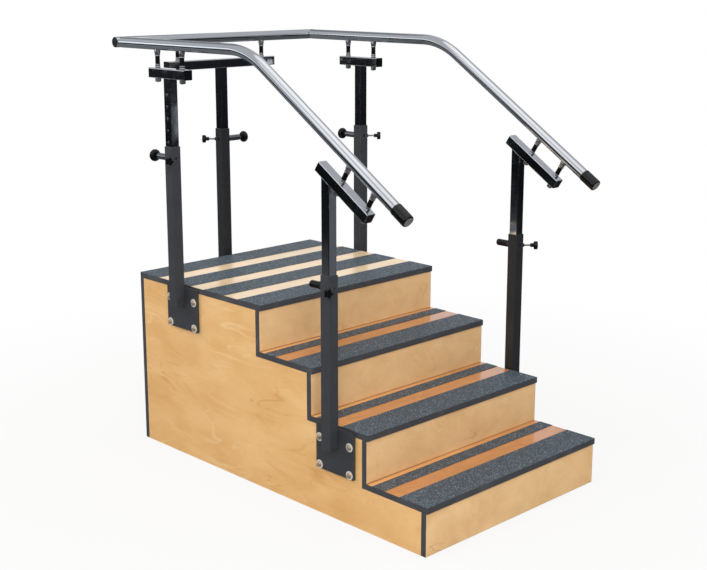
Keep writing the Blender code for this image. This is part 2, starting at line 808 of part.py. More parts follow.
def rail_mesh(route, plug_frames, rail, place):
    # A tube with plugged ends, and a hole for each stud
    tube = helper(pipe(route, RAIL_RADIUS, RAIL_WALL, RAIL_SIDES))
    plug = cylinder(RAIL_RADIUS - RAIL_WALL / 2, -RAIL_PLUG, -RAIL_PLUG_INSET, RAIL_SIDES)
    add_boolean(tube, helper(repeated(plug, plug_frames)), "UNION")
    drill = cylinder(STUD_RADIUS + SCREW_FIT, -RAIL_RADIUS * 2, -RAIL_RADIUS / 2, HOLE_SIDES)
    frames = [frame for post in posts if post.rail == rail for frame in post.stud_frames]
    holes = helper(repeated(drill, [place.inverted() @ frame for frame in frames]))
    add_boolean(tube, holes)
    return smooth(settled(tube))


def cap_mesh():
    # Local Z points out of the rail's front end, from the cap's end face
    bore = RAIL_RADIUS + GAP
    recess = CAP_END / 4
    profile = [
        (0, -recess),
        (RAIL_RADIUS * 0.3, -recess),
        (RAIL_RADIUS * 0.35, 0),
        (CAP_RADIUS * 0.85, 0),
        (CAP_RADIUS * 0.97, -CAP_END / 2),
        (CAP_RADIUS, -CAP_END * 1.5),
        (CAP_RADIUS, -CAP_LENGTH),
        (bore, -CAP_LENGTH),
        (bore, -CAP_END),
        (0, -CAP_END),
    ]
    return turned(profile, RAIL_SIDES)


def make_rails():
    cap = cap_mesh()
    for rail, y in (("left", left_y), ("right", right_y)):
        place = Matrix.Translation((0, y, 0))
        mesh = rail_mesh(side_rail_route(), [aim(rail_rear_end, (-1, 0, 0))], rail, place)
        add_part(f"rail_{rail}", mesh, "chrome", place, rail_parents[rail])
        tip = place @ aim(rail_front_end, down_slope)
        add_part(f"rail_cap_{rail}", cap, "rubber", tip, rail_parents[rail])
    ends = [Vector((0, side * back_rail_half, 0)) for side in (-1, 1)]
    place = Matrix.Translation((-POST_OFFSET, middle_y, RAIL_Z))
    mesh = rail_mesh(ends, [aim(end, end) for end in ends], "back", place)
    add_part("rail_back", mesh, "chrome", place, rail_parents["back"])


def support_mesh():
    # Local Z points up at the rail, from the rail's centre line. One bolt-like stack: the stud,
    # a collar coped to the rail, a sleeve, a lock ring on the head bar and a nut under it.
    collar_end = -RAIL_RADIUS - COLLAR
    ring_end = -BAR_DROP + GAP
    nut_top = -BAR_BOTTOM - GAP
    tail = nut_top - UNDER_NUT - STUD_TAIL
    blank_top = -RAIL_RADIUS * 0.7
    profile = [
        (0, blank_top),
        (COLLAR_RADIUS, blank_top),
        (COLLAR_RADIUS, collar_end),
        (SLEEVE_RADIUS, collar_end),
        (SLEEVE_RADIUS, ring_end + LOCK_RING),
        (LOCK_RING_RADIUS, ring_end + LOCK_RING),
        (LOCK_RING_RADIUS, ring_end),
        (STUD_RADIUS, ring_end),
        (STUD_RADIUS, nut_top),
        (UNDER_NUT_RADIUS, nut_top),
        (UNDER_NUT_RADIUS, nut_top - UNDER_NUT),
        (STUD_RADIUS, nut_top - UNDER_NUT),
        (STUD_RADIUS, tail),
        (0, tail),
    ]
    support = helper(turned(profile, TINY_SIDES))
    reach = COLLAR_RADIUS * 2
    rail = cylinder(RAIL_RADIUS + GAP, -reach, reach, RAIL_SIDES)
    add_boolean(support, helper(rail, aim((0, 0, 0), (1, 0, 0))))
    stud = cylinder(STUD_RADIUS, collar_end, -RAIL_RADIUS + STUD_ENTRY, HOLE_SIDES)
    add_boolean(support, helper(stud), "UNION")
    return smooth(settled(support))


def make_supports():
    support = support_mesh()
    for post in posts:
        for number, frame in enumerate(post.stud_frames, 1):
            add_part(f"rail_support_{post.name}_{number}", support, "chrome", frame, post.parent)


def stand_on_origin():
    # Puts the origin at the bottom centre of the whole object
    bpy.context.view_layer.update()
    graph = bpy.context.evaluated_depsgraph_get()
    points = []
    for obj in stairs.objects:
        if obj.type == "MESH":
            seen = obj.evaluated_get(graph)
            points += [seen.matrix_world @ Vector(point) for point in seen.bound_box]
    low = Vector([min(point[i] for point in points) for i in range(3)])
    high = Vector([max(point[i] for point in points) for i in range(3)])
    root.location = (-(low.x + high.x) / 2, -(low.y + high.y) / 2, -low.z)


make_panels()
make_steps()
make_joist()
make_grip_strips()
make_sockets()
for post in posts:
    make_upright(post)
make_plungers()
make_clamps()
make_rails()
make_supports()
stand_on_origin()
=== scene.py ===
import functools
import math

import bmesh
import bpy
from mathutils import Matrix, Vector


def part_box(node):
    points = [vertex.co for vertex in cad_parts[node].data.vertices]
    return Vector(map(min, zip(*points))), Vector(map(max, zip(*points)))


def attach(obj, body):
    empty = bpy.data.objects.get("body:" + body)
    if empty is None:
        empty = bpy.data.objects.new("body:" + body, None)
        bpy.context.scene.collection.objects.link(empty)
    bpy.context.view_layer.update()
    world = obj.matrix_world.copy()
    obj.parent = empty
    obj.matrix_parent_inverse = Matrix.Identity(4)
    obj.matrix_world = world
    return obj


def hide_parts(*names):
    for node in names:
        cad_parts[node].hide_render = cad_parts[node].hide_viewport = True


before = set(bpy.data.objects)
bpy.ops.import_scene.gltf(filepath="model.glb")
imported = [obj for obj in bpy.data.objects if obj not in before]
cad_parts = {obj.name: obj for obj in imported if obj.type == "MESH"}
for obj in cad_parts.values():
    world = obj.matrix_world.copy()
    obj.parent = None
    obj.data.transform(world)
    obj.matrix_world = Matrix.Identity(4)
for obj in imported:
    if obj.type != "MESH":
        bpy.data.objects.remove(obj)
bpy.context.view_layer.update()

# Training stairs with three handrails that slide up and down.
# Metres, +Z up, the steps go down towards +X and left is -Y.
# The CAD nodes give the places; the pieces here stand for them with finer shapes.

mm = 0.001
gap = 0.3 * mm            # what the CAD leaves between touching pieces
sharpAngle = math.radians(32)
origin = Vector((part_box("back_panel")[0].x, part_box("side_panel_left")[0].y, 0))
riser, going, risers, platformDepth, stairWidth, board = 0.150, 0.238, 4, 0.640, 0.792, 0.018
nosing = 0.006            # how far a tread stands out over its riser


def nosingX(step):
    return platformDepth + (risers - step) * going


# Colours and shader nodes

def linear(hexColour):
    # sRGB hex to the linear values that shaders take
    parts = [int(hexColour[i:i + 2], 16) / 255 for i in (1, 3, 5)]
    return (*[c / 12.92 if c <= 0.04045 else ((c + 0.055) / 1.055) ** 2.4 for c in parts], 1.0)


def addNode(tree, kind, settings=None, links=None):
    # One shader node with its settings, input values and links. A hex value is a colour.
    # An input goes by its name among those in use, or by number, and a node that is named
    # as a source gives its first output in use.
    node = tree.nodes.new("ShaderNode" + kind)

    def inlet(name):
        if isinstance(name, int):
            return node.inputs[name]
        return next(each for each in node.inputs if each.enabled and each.name == name)

    for name, value in (settings or {}).items():
        if name == "stops":
            ramp = node.color_ramp.elements
            while len(ramp) < len(value):
                ramp.new(1.0)
            for stop, (position, colour) in zip(ramp, value):
                stop.position, stop.color = position, linear(colour)
            continue
        if str(value).startswith("#"):
            value = linear(value)
        if isinstance(name, str) and hasattr(node, name):
            setattr(node, name, value)
        else:
            inlet(name).default_value = value
    for name, source in (links or {}).items():
        if isinstance(source, bpy.types.Node):
            source = next(each for each in source.outputs if each.enabled)
        tree.links.new(source, inlet(name))
    return node


def emptyTree(block):
    block.use_nodes = True
    block.node_tree.nodes.clear()
    return block.node_tree


def newMaterial(name):
    # A material to fill and what adds a node to it. There a source in quotes is one of the
    # piece's own coordinates, and a texture lies on Object unless it is linked to others.
    material = bpy.data.materials.new(name)
    tree = emptyTree(material)
    coordinates = addNode(tree, "TexCoord").outputs

    def add(kind, settings=None, links=None):
        links = links or ({"Vector": "Object"} if kind.startswith("Tex") else {})
        return addNode(tree, kind, settings, {
            inlet: coordinates[source] if isinstance(source, str) else source
            for inlet, source in links.items()})
    return material, add


def finished(material, settings, links):
    # The shader, with plain values on its own sockets and nodes that feed the others
    shader = addNode(material.node_tree, "BsdfPrincipled", settings, links)
    addNode(material.node_tree, "OutputMaterial", links={"Surface": shader})
    return material


# Birch plywood

plyLooks = {
    "side": {"pale": "#E4B97E", "deep": "#D9A86A", "line": "#C28746", "cream": "#ECCB98",
             "pip": "#B27338", "grain": "x", "figure": 105, "fibre": 0.20, "roughness": 0.42,
             "coat": 0.25, "coatRoughness": 0.24, "drawn": 1.0, "fine": 0.24},
    "riser": {"pale": "#EBC38E", "deep": "#DFB47E", "line": "#A9733C", "cream": "#ECC997",
              "pip": "#B27A48", "grain": "y", "figure": 95, "fibre": 0.05, "roughness": 0.36,
              "coat": 0.35, "coatRoughness": 0.18, "drawn": 0.35, "fine": 0.13},
    "platform": {"pale": "#F6DBB4", "deep": "#EDCCA0", "line": "#D9AC77", "cream": "#FAE5C6",
                 "pip": "#C08E58", "grain": "y", "figure": 120, "fibre": 0.18, "roughness": 0.30,
                 "coat": 0.45, "coatRoughness": 0.12, "drawn": 1.0, "fine": 0.24},
    # tread: the platform's birch made deeper orange, painted shade and light thrown back by the risers
    "tread": {"pale": "#D08C55", "deep": "#BB7742", "line": "#A1622F", "cream": "#DD9F66",
              "pip": "#8C5228", "grain": "y", "figure": 120, "fibre": 0.22, "roughness": 0.28,
              "coat": 0.8, "coatRoughness": 0.12, "drawn": 1.0, "fine": 0.24, "behind": "#F5B56C"},
}
plySizes = {"clouds": 75, "patches": 190, "pips": 120, "fibres": 2}      # mm from one to the next
figureLines = 13.0        # contour lines over the whole height of the slow noise


def birchVeneer(name, look):
    # Rotary-cut birch face veneer under clear lacquer: pale gold, clouded, with swirling
    # lines where the knife crosses the rings, cream streaks, fine fibres and a few pips
    material, add = newMaterial(name)

    def drawnOut(share):
        # Coordinates in which a pattern is drawn out along the grain, up to 1 / share times
        scale = [1.0, 1.0, 1.0]
        scale["xyz".index(look["grain"])] = share ** look["drawn"]
        return add("Mapping", {"Scale": scale}, {"Vector": "Object"})

    clouds = add("TexNoise", {"Scale": 1 / (plySizes["clouds"] * mm), "Detail": 4.0,
                              "Roughness": 0.55, "Distortion": 0.4},
                 {"Vector": drawnOut(0.4)})
    cloudy = add("MapRange", {"From Min": 0.33, "From Max": 0.68}, {"Value": clouds})
    wood = add("Mix", {"data_type": "RGBA", "A": look["pale"], "B": look["deep"]}, {"Factor": cloudy})
    # The figure is the contour lines of a slow noise, as a knife peels them from a log
    swell = add("TexNoise", {"Scale": 1 / (look["figure"] * mm), "Detail": 2.5,
                             "Roughness": 0.5, "Distortion": 0.9},
                {"Vector": drawnOut(0.32)})
    rings = add("Math", {"operation": "MULTIPLY", 1: figureLines}, {0: swell})
    wave = add("Math", {"operation": "PINGPONG", 1: 1.0}, {0: rings})
    patches = add("TexNoise", {"Scale": 1 / (plySizes["patches"] * mm), "Detail": 1.0},
                  {"Vector": drawnOut(0.6)})
    lined = add("MapRange", {"From Min": 0.50, "From Max": 0.68, "To Max": 0.5}, {"Value": patches})
    line = add("MapRange", {"From Min": look["fine"], "From Max": 0.0}, {"Value": wave})
    lines = add("Math", {"operation": "MULTIPLY"}, {0: line, 1: lined})
    creamy = add("MapRange", {"From Min": 0.52, "From Max": 0.34, "To Max": 0.55}, {"Value": patches})
    streak = add("MapRange", {"From Min": 0.72, "From Max": 1.0}, {"Value": wave})
    streaks = add("Math", {"operation": "MULTIPLY"}, {0: streak, 1: creamy})
    # Fibres about 1 mm wide and 30 mm long, wider than real ones, so that they show
    fibres = add("TexNoise", {"Scale": 1 / (plySizes["fibres"] * mm), "Detail": 3.0,
                              "Roughness": 0.6}, {"Vector": drawnOut(0.03)})
    fibre = add("MapRange", {"From Min": 0.45, "From Max": 0.75, "To Max": look["fibre"]},
                {"Value": fibres})
    # Pips, the little knots of birch: spots about 6 mm across
    cells = add("TexVoronoi", {"Scale": 1 / (plySizes["pips"] * mm)}, {"Vector": drawnOut(0.7)})
    pip = add("MapRange", {"From Min": 0.060, "From Max": 0.015, "To Max": 0.45}, {"Value": cells})
    layers = [("line", lines), ("cream", streaks), ("line", fibre), ("pip", pip)]
    if "behind" in look:
        # Painted bounce light: the treads are golden behind their back strips, the more so at the left
        # end
        parts = add("SeparateXYZ", links={"Vector": "Object"})
        steps = add("Math", {"operation": "MULTIPLY_ADD", 1: -1 / going,
                             2: (origin.x + nosingX(0)) / going}, {0: parts.outputs["X"]})
        behind = add("Math", {"operation": "FRACT"}, {0: steps})
        strip = (origin.x + nosingX(1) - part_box("grip_tread_1_back")[0].x) / going
        reach = add("MapRange", {"From Min": strip - 0.03, "From Max": strip}, {"Value": behind})
        fade = add("MapRange", {"From Min": -0.40, "From Max": 0.42, "To Min": 0.95,
                                "To Max": 0.15}, {"Value": parts.outputs["Y"]})
        paintedBounceLight = add("Math", {"operation": "MULTIPLY"}, {0: reach, 1: fade})
        layers.append(("behind", paintedBounceLight))
    for colour, share in layers:
        wood = add("Mix", {"data_type": "RGBA", "B": look[colour]}, {"Factor": share, "A": wood})
    bump = add("Bump", {"Strength": 0.10, "Distance": 0.10 * mm}, {"Height": fibres})
    return finished(material, {"Roughness": look["roughness"], "IOR": 1.5, "Coat Weight": look["coat"],
                               "Coat Roughness": look["coatRoughness"], "Coat IOR": 1.5},
                    {"Base Color": wood, "Normal": bump})


plyEdgeLook = {"light": "#D9B98C", "dark": "#9C6F42", "ply": 1.4, "roughness": 0.7}


def sawnPlyEdge(look):
    # The sawn edge of birch plywood: thin veneers in turn pale along and darker across.
    # At scale 1 the bands come round every pi / 10, and one round is two plies.
    material, add = newMaterial("sawnBirchPlyEdge")
    plies = add("TexWave", {"wave_type": "BANDS", "bands_direction": "Y", "Distortion": 0.6,
                            "Scale": math.pi / (10 * 2 * look["ply"] * mm)})
    colour = add("Mix", {"data_type": "RGBA", "A": look["light"], "B": look["dark"]}, {"Factor": plies})
    return finished(material, {"Roughness": look["roughness"], "IOR": 1.5}, {"Base Color": colour})


pineLook = {"pale": "#DDBB8A", "deep": "#B98B56", "ring": 6, "roughness": 0.65}


def planedPine(look):
    # Planed softwood, bare: straight bands of early and late wood
    material, add = newMaterial("planedPine")
    long = add("Mapping", {"Scale": (1, 0.05, 1)}, {"Vector": "Object"})
    rings = add("TexNoise", {"Scale": 1 / (look["ring"] * mm), "Detail": 3.0}, {"Vector": long})
    colour = add("Mix", {"data_type": "RGBA", "A": look["pale"], "B": look["deep"]}, {"Factor": rings})
    return finished(material, {"Roughness": look["roughness"], "IOR": 1.5}, {"Base Color": colour})


edgingLook = {"colour": "#404145", "worn": "#5C5D62", "pebble": 1.2, "cloud": 60, "roughness": 0.50}


def absEdging(look):
    # Extruded ABS edge banding, glued on and flush-trimmed: charcoal, with a fine pebble
    material, add = newMaterial("extrudedAbsEdging")
    pebble = add("TexNoise", {"Scale": 1 / (look["pebble"] * mm), "Detail": 3.0})
    cloud = add("TexNoise", {"Scale": 1 / (look["cloud"] * mm), "Detail": 4.0})
    wear = add("MapRange", {"From Min": 0.52, "From Max": 0.78, "To Max": 0.5}, {"Value": cloud})
    colour = add("Mix", {"data_type": "RGBA", "A": look["colour"], "B": look["worn"]}, {"Factor": wear})
    bump = add("Bump", {"Strength": 0.25, "Distance": 0.15 * mm}, {"Height": pebble})
    return finished(material, {"Roughness": look["roughness"], "IOR": 1.53},
                    {"Base Color": colour, "Normal": bump})


gripLook = {"vinyl": "#353F48", "cloud": "#42505B", "grit": "#8E9BA4", "brightGrit": "#DCE3E8",
            "cloudSize": 18, "gritSize": 3.4, "embossSize": 1.6, "roughness": 0.60,
            "gritRoughness": 0.25}


def safetyVinyl(look):
    # Embossed vinyl safety flooring: slate grey, with pale mineral grit that sparkles.
    # Real grit is about 1 mm; it is drawn about three times as coarse so that it shows.
    material, add = newMaterial("embossedSafetyVinyl")
    cloud = add("TexNoise", {"Scale": 1 / (look["cloudSize"] * mm), "Detail": 5.0})
    ground = add("Mix", {"data_type": "RGBA", "A": look["vinyl"], "B": look["cloud"]},
                 {"Factor": cloud})
    grains = add("TexVoronoi", {"Scale": 1 / (look["gritSize"] * mm)})
    grain = add("MapRange", {"From Min": 0.42, "From Max": 0.26}, {"Value": grains})
    pick = add("SeparateColor", links={"Color": grains.outputs["Color"]})
    few = add("MapRange", {"From Min": 0.50, "From Max": 0.90}, {"Value": pick})
    flecks = add("Math", {"operation": "MULTIPLY"}, {0: grain, 1: few})
    kinds = add("Mix", {"data_type": "RGBA", "A": look["grit"], "B": look["brightGrit"]},
                {"Factor": pick.outputs[1]})
    colour = add("Mix", {"data_type": "RGBA"}, {"Factor": flecks, "A": ground, "B": kinds})
    gloss = add("MapRange", {"To Min": look["roughness"], "To Max": look["gritRoughness"]},
                {"Value": flecks})
    emboss = add("TexVoronoi", {"Scale": 1 / (look["embossSize"] * mm)})
    bump = add("Bump", {"Strength": 0.5, "Distance": 0.25 * mm}, {"Height": emboss})
    return finished(material, {"IOR": 1.5}, {"Base Color": colour, "Roughness": gloss, "Normal": bump})


powderLooks = {
    "near": {"colour": "#3E3F43", "deep": "#343539", "roughness": 0.40, "peel": 1.6, "cloud": 45},
    # far: the same powder coat made darker, painted shade for the back and right front posts
    "far": {"colour": "#292A2D", "deep": "#222326", "roughness": 0.42, "peel": 1.6, "cloud": 45},
}


def powderCoat(name, look):
    # Polyester powder coat on steel, baked: charcoal, satin, with a fine orange peel.
    # On the back and the right front post a darker copy of it is used: painted shade.
    material, add = newMaterial(name)
    peel = add("TexNoise", {"Scale": 1 / (look["peel"] * mm), "Detail": 2.0})
    cloud = add("TexNoise", {"Scale": 1 / (look["cloud"] * mm), "Detail": 4.0})
    colour = add("Mix", {"data_type": "RGBA", "A": look["deep"], "B": look["colour"]},
                 {"Factor": cloud})
    rough = add("MapRange", {"To Min": look["roughness"] - 0.05,
                             "To Max": look["roughness"] + 0.07}, {"Value": cloud})
    bump = add("Bump", {"Strength": 0.22, "Distance": 0.08 * mm}, {"Height": peel})
    return finished(material, {"IOR": 1.5}, {"Base Color": colour, "Roughness": rough, "Normal": bump})


chromeLooks = {
    "round": {"colour": "#DCDEE1", "roughness": 0.07, "smear": 0.17, "ripple": 0.0},
    "square": {"colour": "#D6D8DC", "roughness": 0.06, "smear": 0.16, "ripple": 0.10},
    "fitting": {"colour": "#E2E3E5", "roughness": 0.26, "smear": 0.36, "ripple": 0.0},
}


def chromePlate(name, look):
    # Polished steel tube with bright chrome plate: a cool mirror with faint handling smears.
    # The flats of a square tube ripple a little, so that what they mirror wavers.
    material, add = newMaterial(name)
    smears = add("TexNoise", {"Scale": 1 / (35 * mm), "Detail": 5.0, "Roughness": 0.6})
    rough = add("MapRange", {"From Min": 0.45, "From Max": 0.75,
                             "To Min": look["roughness"], "To Max": look["smear"]},
                {"Value": smears})
    waver = add("TexNoise", {"Scale": 1 / (30 * mm), "Detail": 1.0})
    bump = add("Bump", {"Strength": look["ripple"], "Distance": 0.5 * mm}, {"Height": waver})
    return finished(material, {"Base Color": look["colour"], "Metallic": 1.0},
                    {"Roughness": rough, "Normal": bump})


plasticLook = {"colour": "#040405", "roughness": 0.34, "spark": 0.9}


def mouldedPlastic(look):
    # Injection-moulded black thermoplastic: even, slightly glossy, with a faint spark texture
    material, add = newMaterial("mouldedBlackPlastic")
    spark = add("TexNoise", {"Scale": 1 / (look["spark"] * mm), "Detail": 2.0})
    rough = add("MapRange", {"To Min": look["roughness"] - 0.06,
                             "To Max": look["roughness"] + 0.10}, {"Value": spark})
    bump = add("Bump", {"Strength": 0.12, "Distance": 0.06 * mm}, {"Height": spark})
    return finished(material, {"Base Color": look["colour"], "IOR": 1.49},
                    {"Roughness": rough, "Normal": bump})


rubberLooks = {
    "side": {"colour": "#040404", "bloom": "#090908", "roughness": 0.24},
    # end: the same black rubber given a pale grey on the end face, painted light
    "end": {"colour": "#62625F", "bloom": "#747471", "roughness": 0.5},
}


def mouldedRubber(name, look):
    # Moulded rubber cap: black, with a soft skin sheen and a little bloom
    material, add = newMaterial(name)
    bloom = add("TexNoise", {"Scale": 1 / (12 * mm), "Detail": 4.0})
    colour = add("Mix", {"data_type": "RGBA", "A": look["colour"], "B": look["bloom"]},
                 {"Factor": bloom})
    bump = add("Bump", {"Strength": 0.15, "Distance": 0.1 * mm}, {"Height": bloom})
    return finished(material, {"Roughness": look["roughness"], "IOR": 1.52},
                    {"Base Color": colour, "Normal": bump})


zincLooks = {
    "clear": {"colour": "#B9B6AE", "metal": 1.0, "roughness": 0.28},
    # washer and yellow: metal below 1, the matt rest is painted light for their bright reflection
    "washer": {"colour": "#F4F3F0", "metal": 0.45, "roughness": 0.45},
    "yellow": {"colour": "#D6BE9E", "metal": 0.75, "roughness": 0.34},
    "black": {"colour": "#8A8C90", "metal": 1.0, "roughness": 0.16},
}


def zincPlate(name, look):
    # Zinc-plated steel, duller than chrome: clear on the screws and springs, with the warm
    # tint of yellow passivation on the bolts, and black passivated on the plunger barrels,
    # where it mirrors darkly. Where metal is below 1, as on the washers and bolt heads, the
    # rest is plain matt colour: painted light that stands in for their bright reflection.
    material, add = newMaterial(name)
    spangle = add("TexNoise", {"Scale": 1 / (3 * mm), "Detail": 3.0})
    rough = add("MapRange", {"To Min": look["roughness"] - 0.05,
                             "To Max": look["roughness"] + 0.12}, {"Value": spangle})
    return finished(material, {"Base Color": look["colour"], "Metallic": look["metal"]},
                    {"Roughness": rough})


sideVeneer = birchVeneer("lacqueredBirchSide", plyLooks["side"])
riserVeneer = birchVeneer("lacqueredBirchRiser", plyLooks["riser"])
platformVeneer = birchVeneer("lacqueredBirchPlatform", plyLooks["platform"])
treadVeneer = birchVeneer("lacqueredBirchTread", plyLooks["tread"])
plyEdge = sawnPlyEdge(plyEdgeLook)
pine = planedPine(pineLook)
edging = absEdging(edgingLook)
vinyl = safetyVinyl(gripLook)
powder = powderCoat("satinPowderCoat", powderLooks["near"])
paintedShadePowder = powderCoat("satinPowderCoatWithPaintedShade", powderLooks["far"])
chrome = chromePlate("polishedChromePlate", chromeLooks["round"])
squareChrome = chromePlate("polishedChromePlateOnFlats", chromeLooks["square"])
satinChrome = chromePlate("satinChromePlateOnFittings", chromeLooks["fitting"])
plastic = mouldedPlastic(plasticLook)
rubber = mouldedRubber("mouldedRubberSide", rubberLooks["side"])
rubberEndPaintedLight = mouldedRubber("mouldedRubberEndPaintedLight", rubberLooks["end"])
zinc = zincPlate("clearZincPlate", zincLooks["clear"])
washerPlate = zincPlate("zincPlateWithPaintedLight", zincLooks["washer"])
boltPlate = zincPlate("yellowZincPlate", zincLooks["yellow"])
blackPlate = zincPlate("blackZincPlate", zincLooks["black"])
print("materials ready:", len(bpy.data.materials))


# Mesh helpers

def meshFrom(bm):
    mesh = bpy.data.meshes.new("shape")
    bm.normal_update()
    bm.to_mesh(mesh)
    bm.free()
    return mesh


def modified(mesh, kind, settings):
    # The mesh after some modifiers of one kind
    obj = bpy.data.objects.new("working", mesh)
    bpy.context.scene.collection.objects.link(obj)
    for each in settings:
        modifier = obj.modifiers.new(kind, kind)
        for name, value in each.items():
            setattr(modifier, name, value)
    graph = bpy.context.evaluated_depsgraph_get()
    result = bpy.data.meshes.new_from_object(obj.evaluated_get(graph))
    bpy.data.objects.remove(obj, do_unlink=True)
    return result


def settled(mesh, cutters=()):
    # The mesh with holes cut and its normals weighted, so that flat faces stay flat
    helpers = [bpy.data.objects.new("cutter", cutter) for cutter in cutters]
    for helper in helpers:
        bpy.context.scene.collection.objects.link(helper)
    mesh = modified(mesh, "BOOLEAN", [{"operation": "DIFFERENCE", "solver": "EXACT", "object": helper}
                                      for helper in helpers])
    for helper in helpers:
        bpy.data.objects.remove(helper, do_unlink=True)
    mesh.shade_smooth()
    mesh.set_sharp_from_angle(angle=sharpAngle)
    return modified(mesh, "WEIGHTED_NORMAL", [{"keep_sharp": True, "weight": 90}])


def moved(mesh, place):
    mesh = mesh.copy()
    mesh.transform(place)
    if place.determinant() < 0:
        mesh.flip_normals()
    return mesh


def aim(point, direction):
    # A frame at a point with local Z along a direction
    turn = Vector(direction).to_track_quat("Z", "Y").to_matrix().to_4x4()
    return Matrix.Translation(Vector(point)) @ turn


def addPiece(name, mesh, material, body, slot, node, place=Matrix.Identity(4)):
    # One piece of the stairs: its mesh in place, riding on its body, instead of its CAD node
    mesh = moved(mesh, place)
    numbers = [face.material_index for face in mesh.polygons]
    mesh = settled(mesh)
    mesh.materials.clear()
    for each in material if isinstance(material, list) else [material]:
        mesh.materials.append(each)
    if len(mesh.materials) > 1:
        for face, number in zip(mesh.polygons, numbers):
            face.material_index = number        # clear() has set them all to the first
    mesh.name = name
    obj = bpy.data.objects.new(name, mesh)
    bpy.context.scene.collection.objects.link(obj)
    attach(obj, body)
    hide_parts(node)


def joined(meshes):
    # Several meshes as one, for small fasteners that go together
    bm = bmesh.new()
    for mesh in meshes:
        bm.from_mesh(mesh)
    return meshFrom(bm)


def roundedBox(low, high, radius, segments=2):
    # A board or plate with eased edges
    low, high = Vector(low), Vector(high)
    bm = bmesh.new()
    bmesh.ops.create_cube(bm, size=1)
    bmesh.ops.scale(bm, vec=high - low, verts=bm.verts)
    bmesh.ops.translate(bm, vec=(low + high) / 2, verts=bm.verts)
    bmesh.ops.bevel(bm, geom=bm.edges[:], offset=radius, segments=segments, profile=0.5,
                    affect="EDGES", clamp_overlap=True)
    return meshFrom(bm)


def skin(bm, rows, ring=False):
    # Faces between rows of vertices, where a row of one is a pole. With ring the last row
    # joins the first, as in a tube with a wall; else the ends are closed, unless at a pole.
    sides = max(len(row) for row in rows)
    for lower, upper in zip(rows, rows[1:] + rows[:1] * ring):
        for i in range(sides):
            j = (i + 1) % sides
            corners = dict.fromkeys((lower[i % len(lower)], lower[j % len(lower)],
                                     upper[j % len(upper)], upper[i % len(upper)]))
            if len(corners) > 2:
                bm.faces.new(tuple(corners))
    if not ring and len(rows[0]) > 1:
        bm.faces.new(rows[0][::-1])
        bm.faces.new(rows[-1])
    bmesh.ops.recalc_face_normals(bm, faces=bm.faces[:])
    return bm


def around(count):
    return [2 * math.pi * i / count for i in range(count)]


def rectangle(wide, high, radius, steps=6):
    # An outline with round corners, as (x, y) points
    points = []
    for corner, (sx, sy) in enumerate(((1, 1), (-1, 1), (-1, -1), (1, -1))):
        for i in range(steps + 1):
            angle = math.radians(90 * corner + 90 * i / steps)
            points.append((sx * (wide / 2 - radius) + radius * math.cos(angle),
                           sy * (high / 2 - radius) + radius * math.sin(angle)))
    return points


def stack(loops, ring=False):
    # Skins a list of (outline, z) loops with the same number of points each
    bm = bmesh.new()
    rows = [[bm.verts.new((x, y, z)) for x, y in outline] for outline, z in loops]
    return meshFrom(skin(bm, rows, ring))


def squareTube(width, wall, radius, bottom, top, chamfer=0.4 * mm):
    # A square tube along Z with a wall, round corners and eased ends
    inner, eased = width - 2 * wall, width - 2 * chamfer
    out = rectangle(width, width, radius)
    outIn = rectangle(eased, eased, radius - chamfer)
    into = rectangle(inner, inner, max(radius - wall, 0.3 * mm))
    return stack([(out, bottom + chamfer), (out, top - chamfer), (outIn, top), (into, top),
                  (into, bottom), (outIn, bottom)], ring=True)


def turned(profile, sides=32):
    # (radius, height) points turned about Z; points on the axis close to a pole
    bm = bmesh.new()
    rows = [[bm.verts.new((radius * math.cos(angle), radius * math.sin(angle), height))
             for angle in (around(sides) if radius > 1e-6 else [0])]
            for radius, height in profile]
    return meshFrom(skin(bm, rows, ring=len(rows[0]) > 1))


def lathed(profile, ease=0.4 * mm, sides=32, steps=3):
    # A turned profile with its corners eased, as a lathe tool or mould leaves them
    points = [Vector(p) for p in profile]
    result = [points[0]]
    for before, corner, after in zip(points, points[1:], points[2:]):
        a, b = before - corner, after - corner
        if a.length < 1e-7 or b.length < 1e-7 or a.angle(b, math.pi) > math.radians(165):
            result.append(corner)
            continue
        cut = min(ease, a.length * 0.45, b.length * 0.45)
        start, end = corner + a.normalized() * cut, corner + b.normalized() * cut
        for i in range(steps + 1):
            t = i / steps
            result.append(start * (1 - t) ** 2 + corner * 2 * t * (1 - t) + end * t ** 2)
    return turned(result + [points[-1]], sides)


def roundBar(radius, bottom, top, sides=32):
    return turned([(0, bottom), (radius, bottom), (radius, top), (0, top)], sides)


def headings(points):
    # The direction of a path at each of its points
    ends = zip([points[0], *points], [*points[1:], points[-1]])
    return [(after - before).normalized() for before, after in ends]


def piped(stations, sides, ring=False):
    # Circles square to a path, carried along it without twist and skinned.
    # A station is a point of the path, its direction there and the circle's radius.
    bm = bmesh.new()
    rows, across = [], stations[0][1].orthogonal()
    for point, along, radius in stations:
        across = (across - along * across.dot(along)).normalized()
        other = along.cross(across)
        rows.append([bm.verts.new(point + (across * math.cos(angle) + other * math.sin(angle)) * radius)
                     for angle in around(sides)])
    return meshFrom(skin(bm, rows, ring))


# Places, as the CAD has them

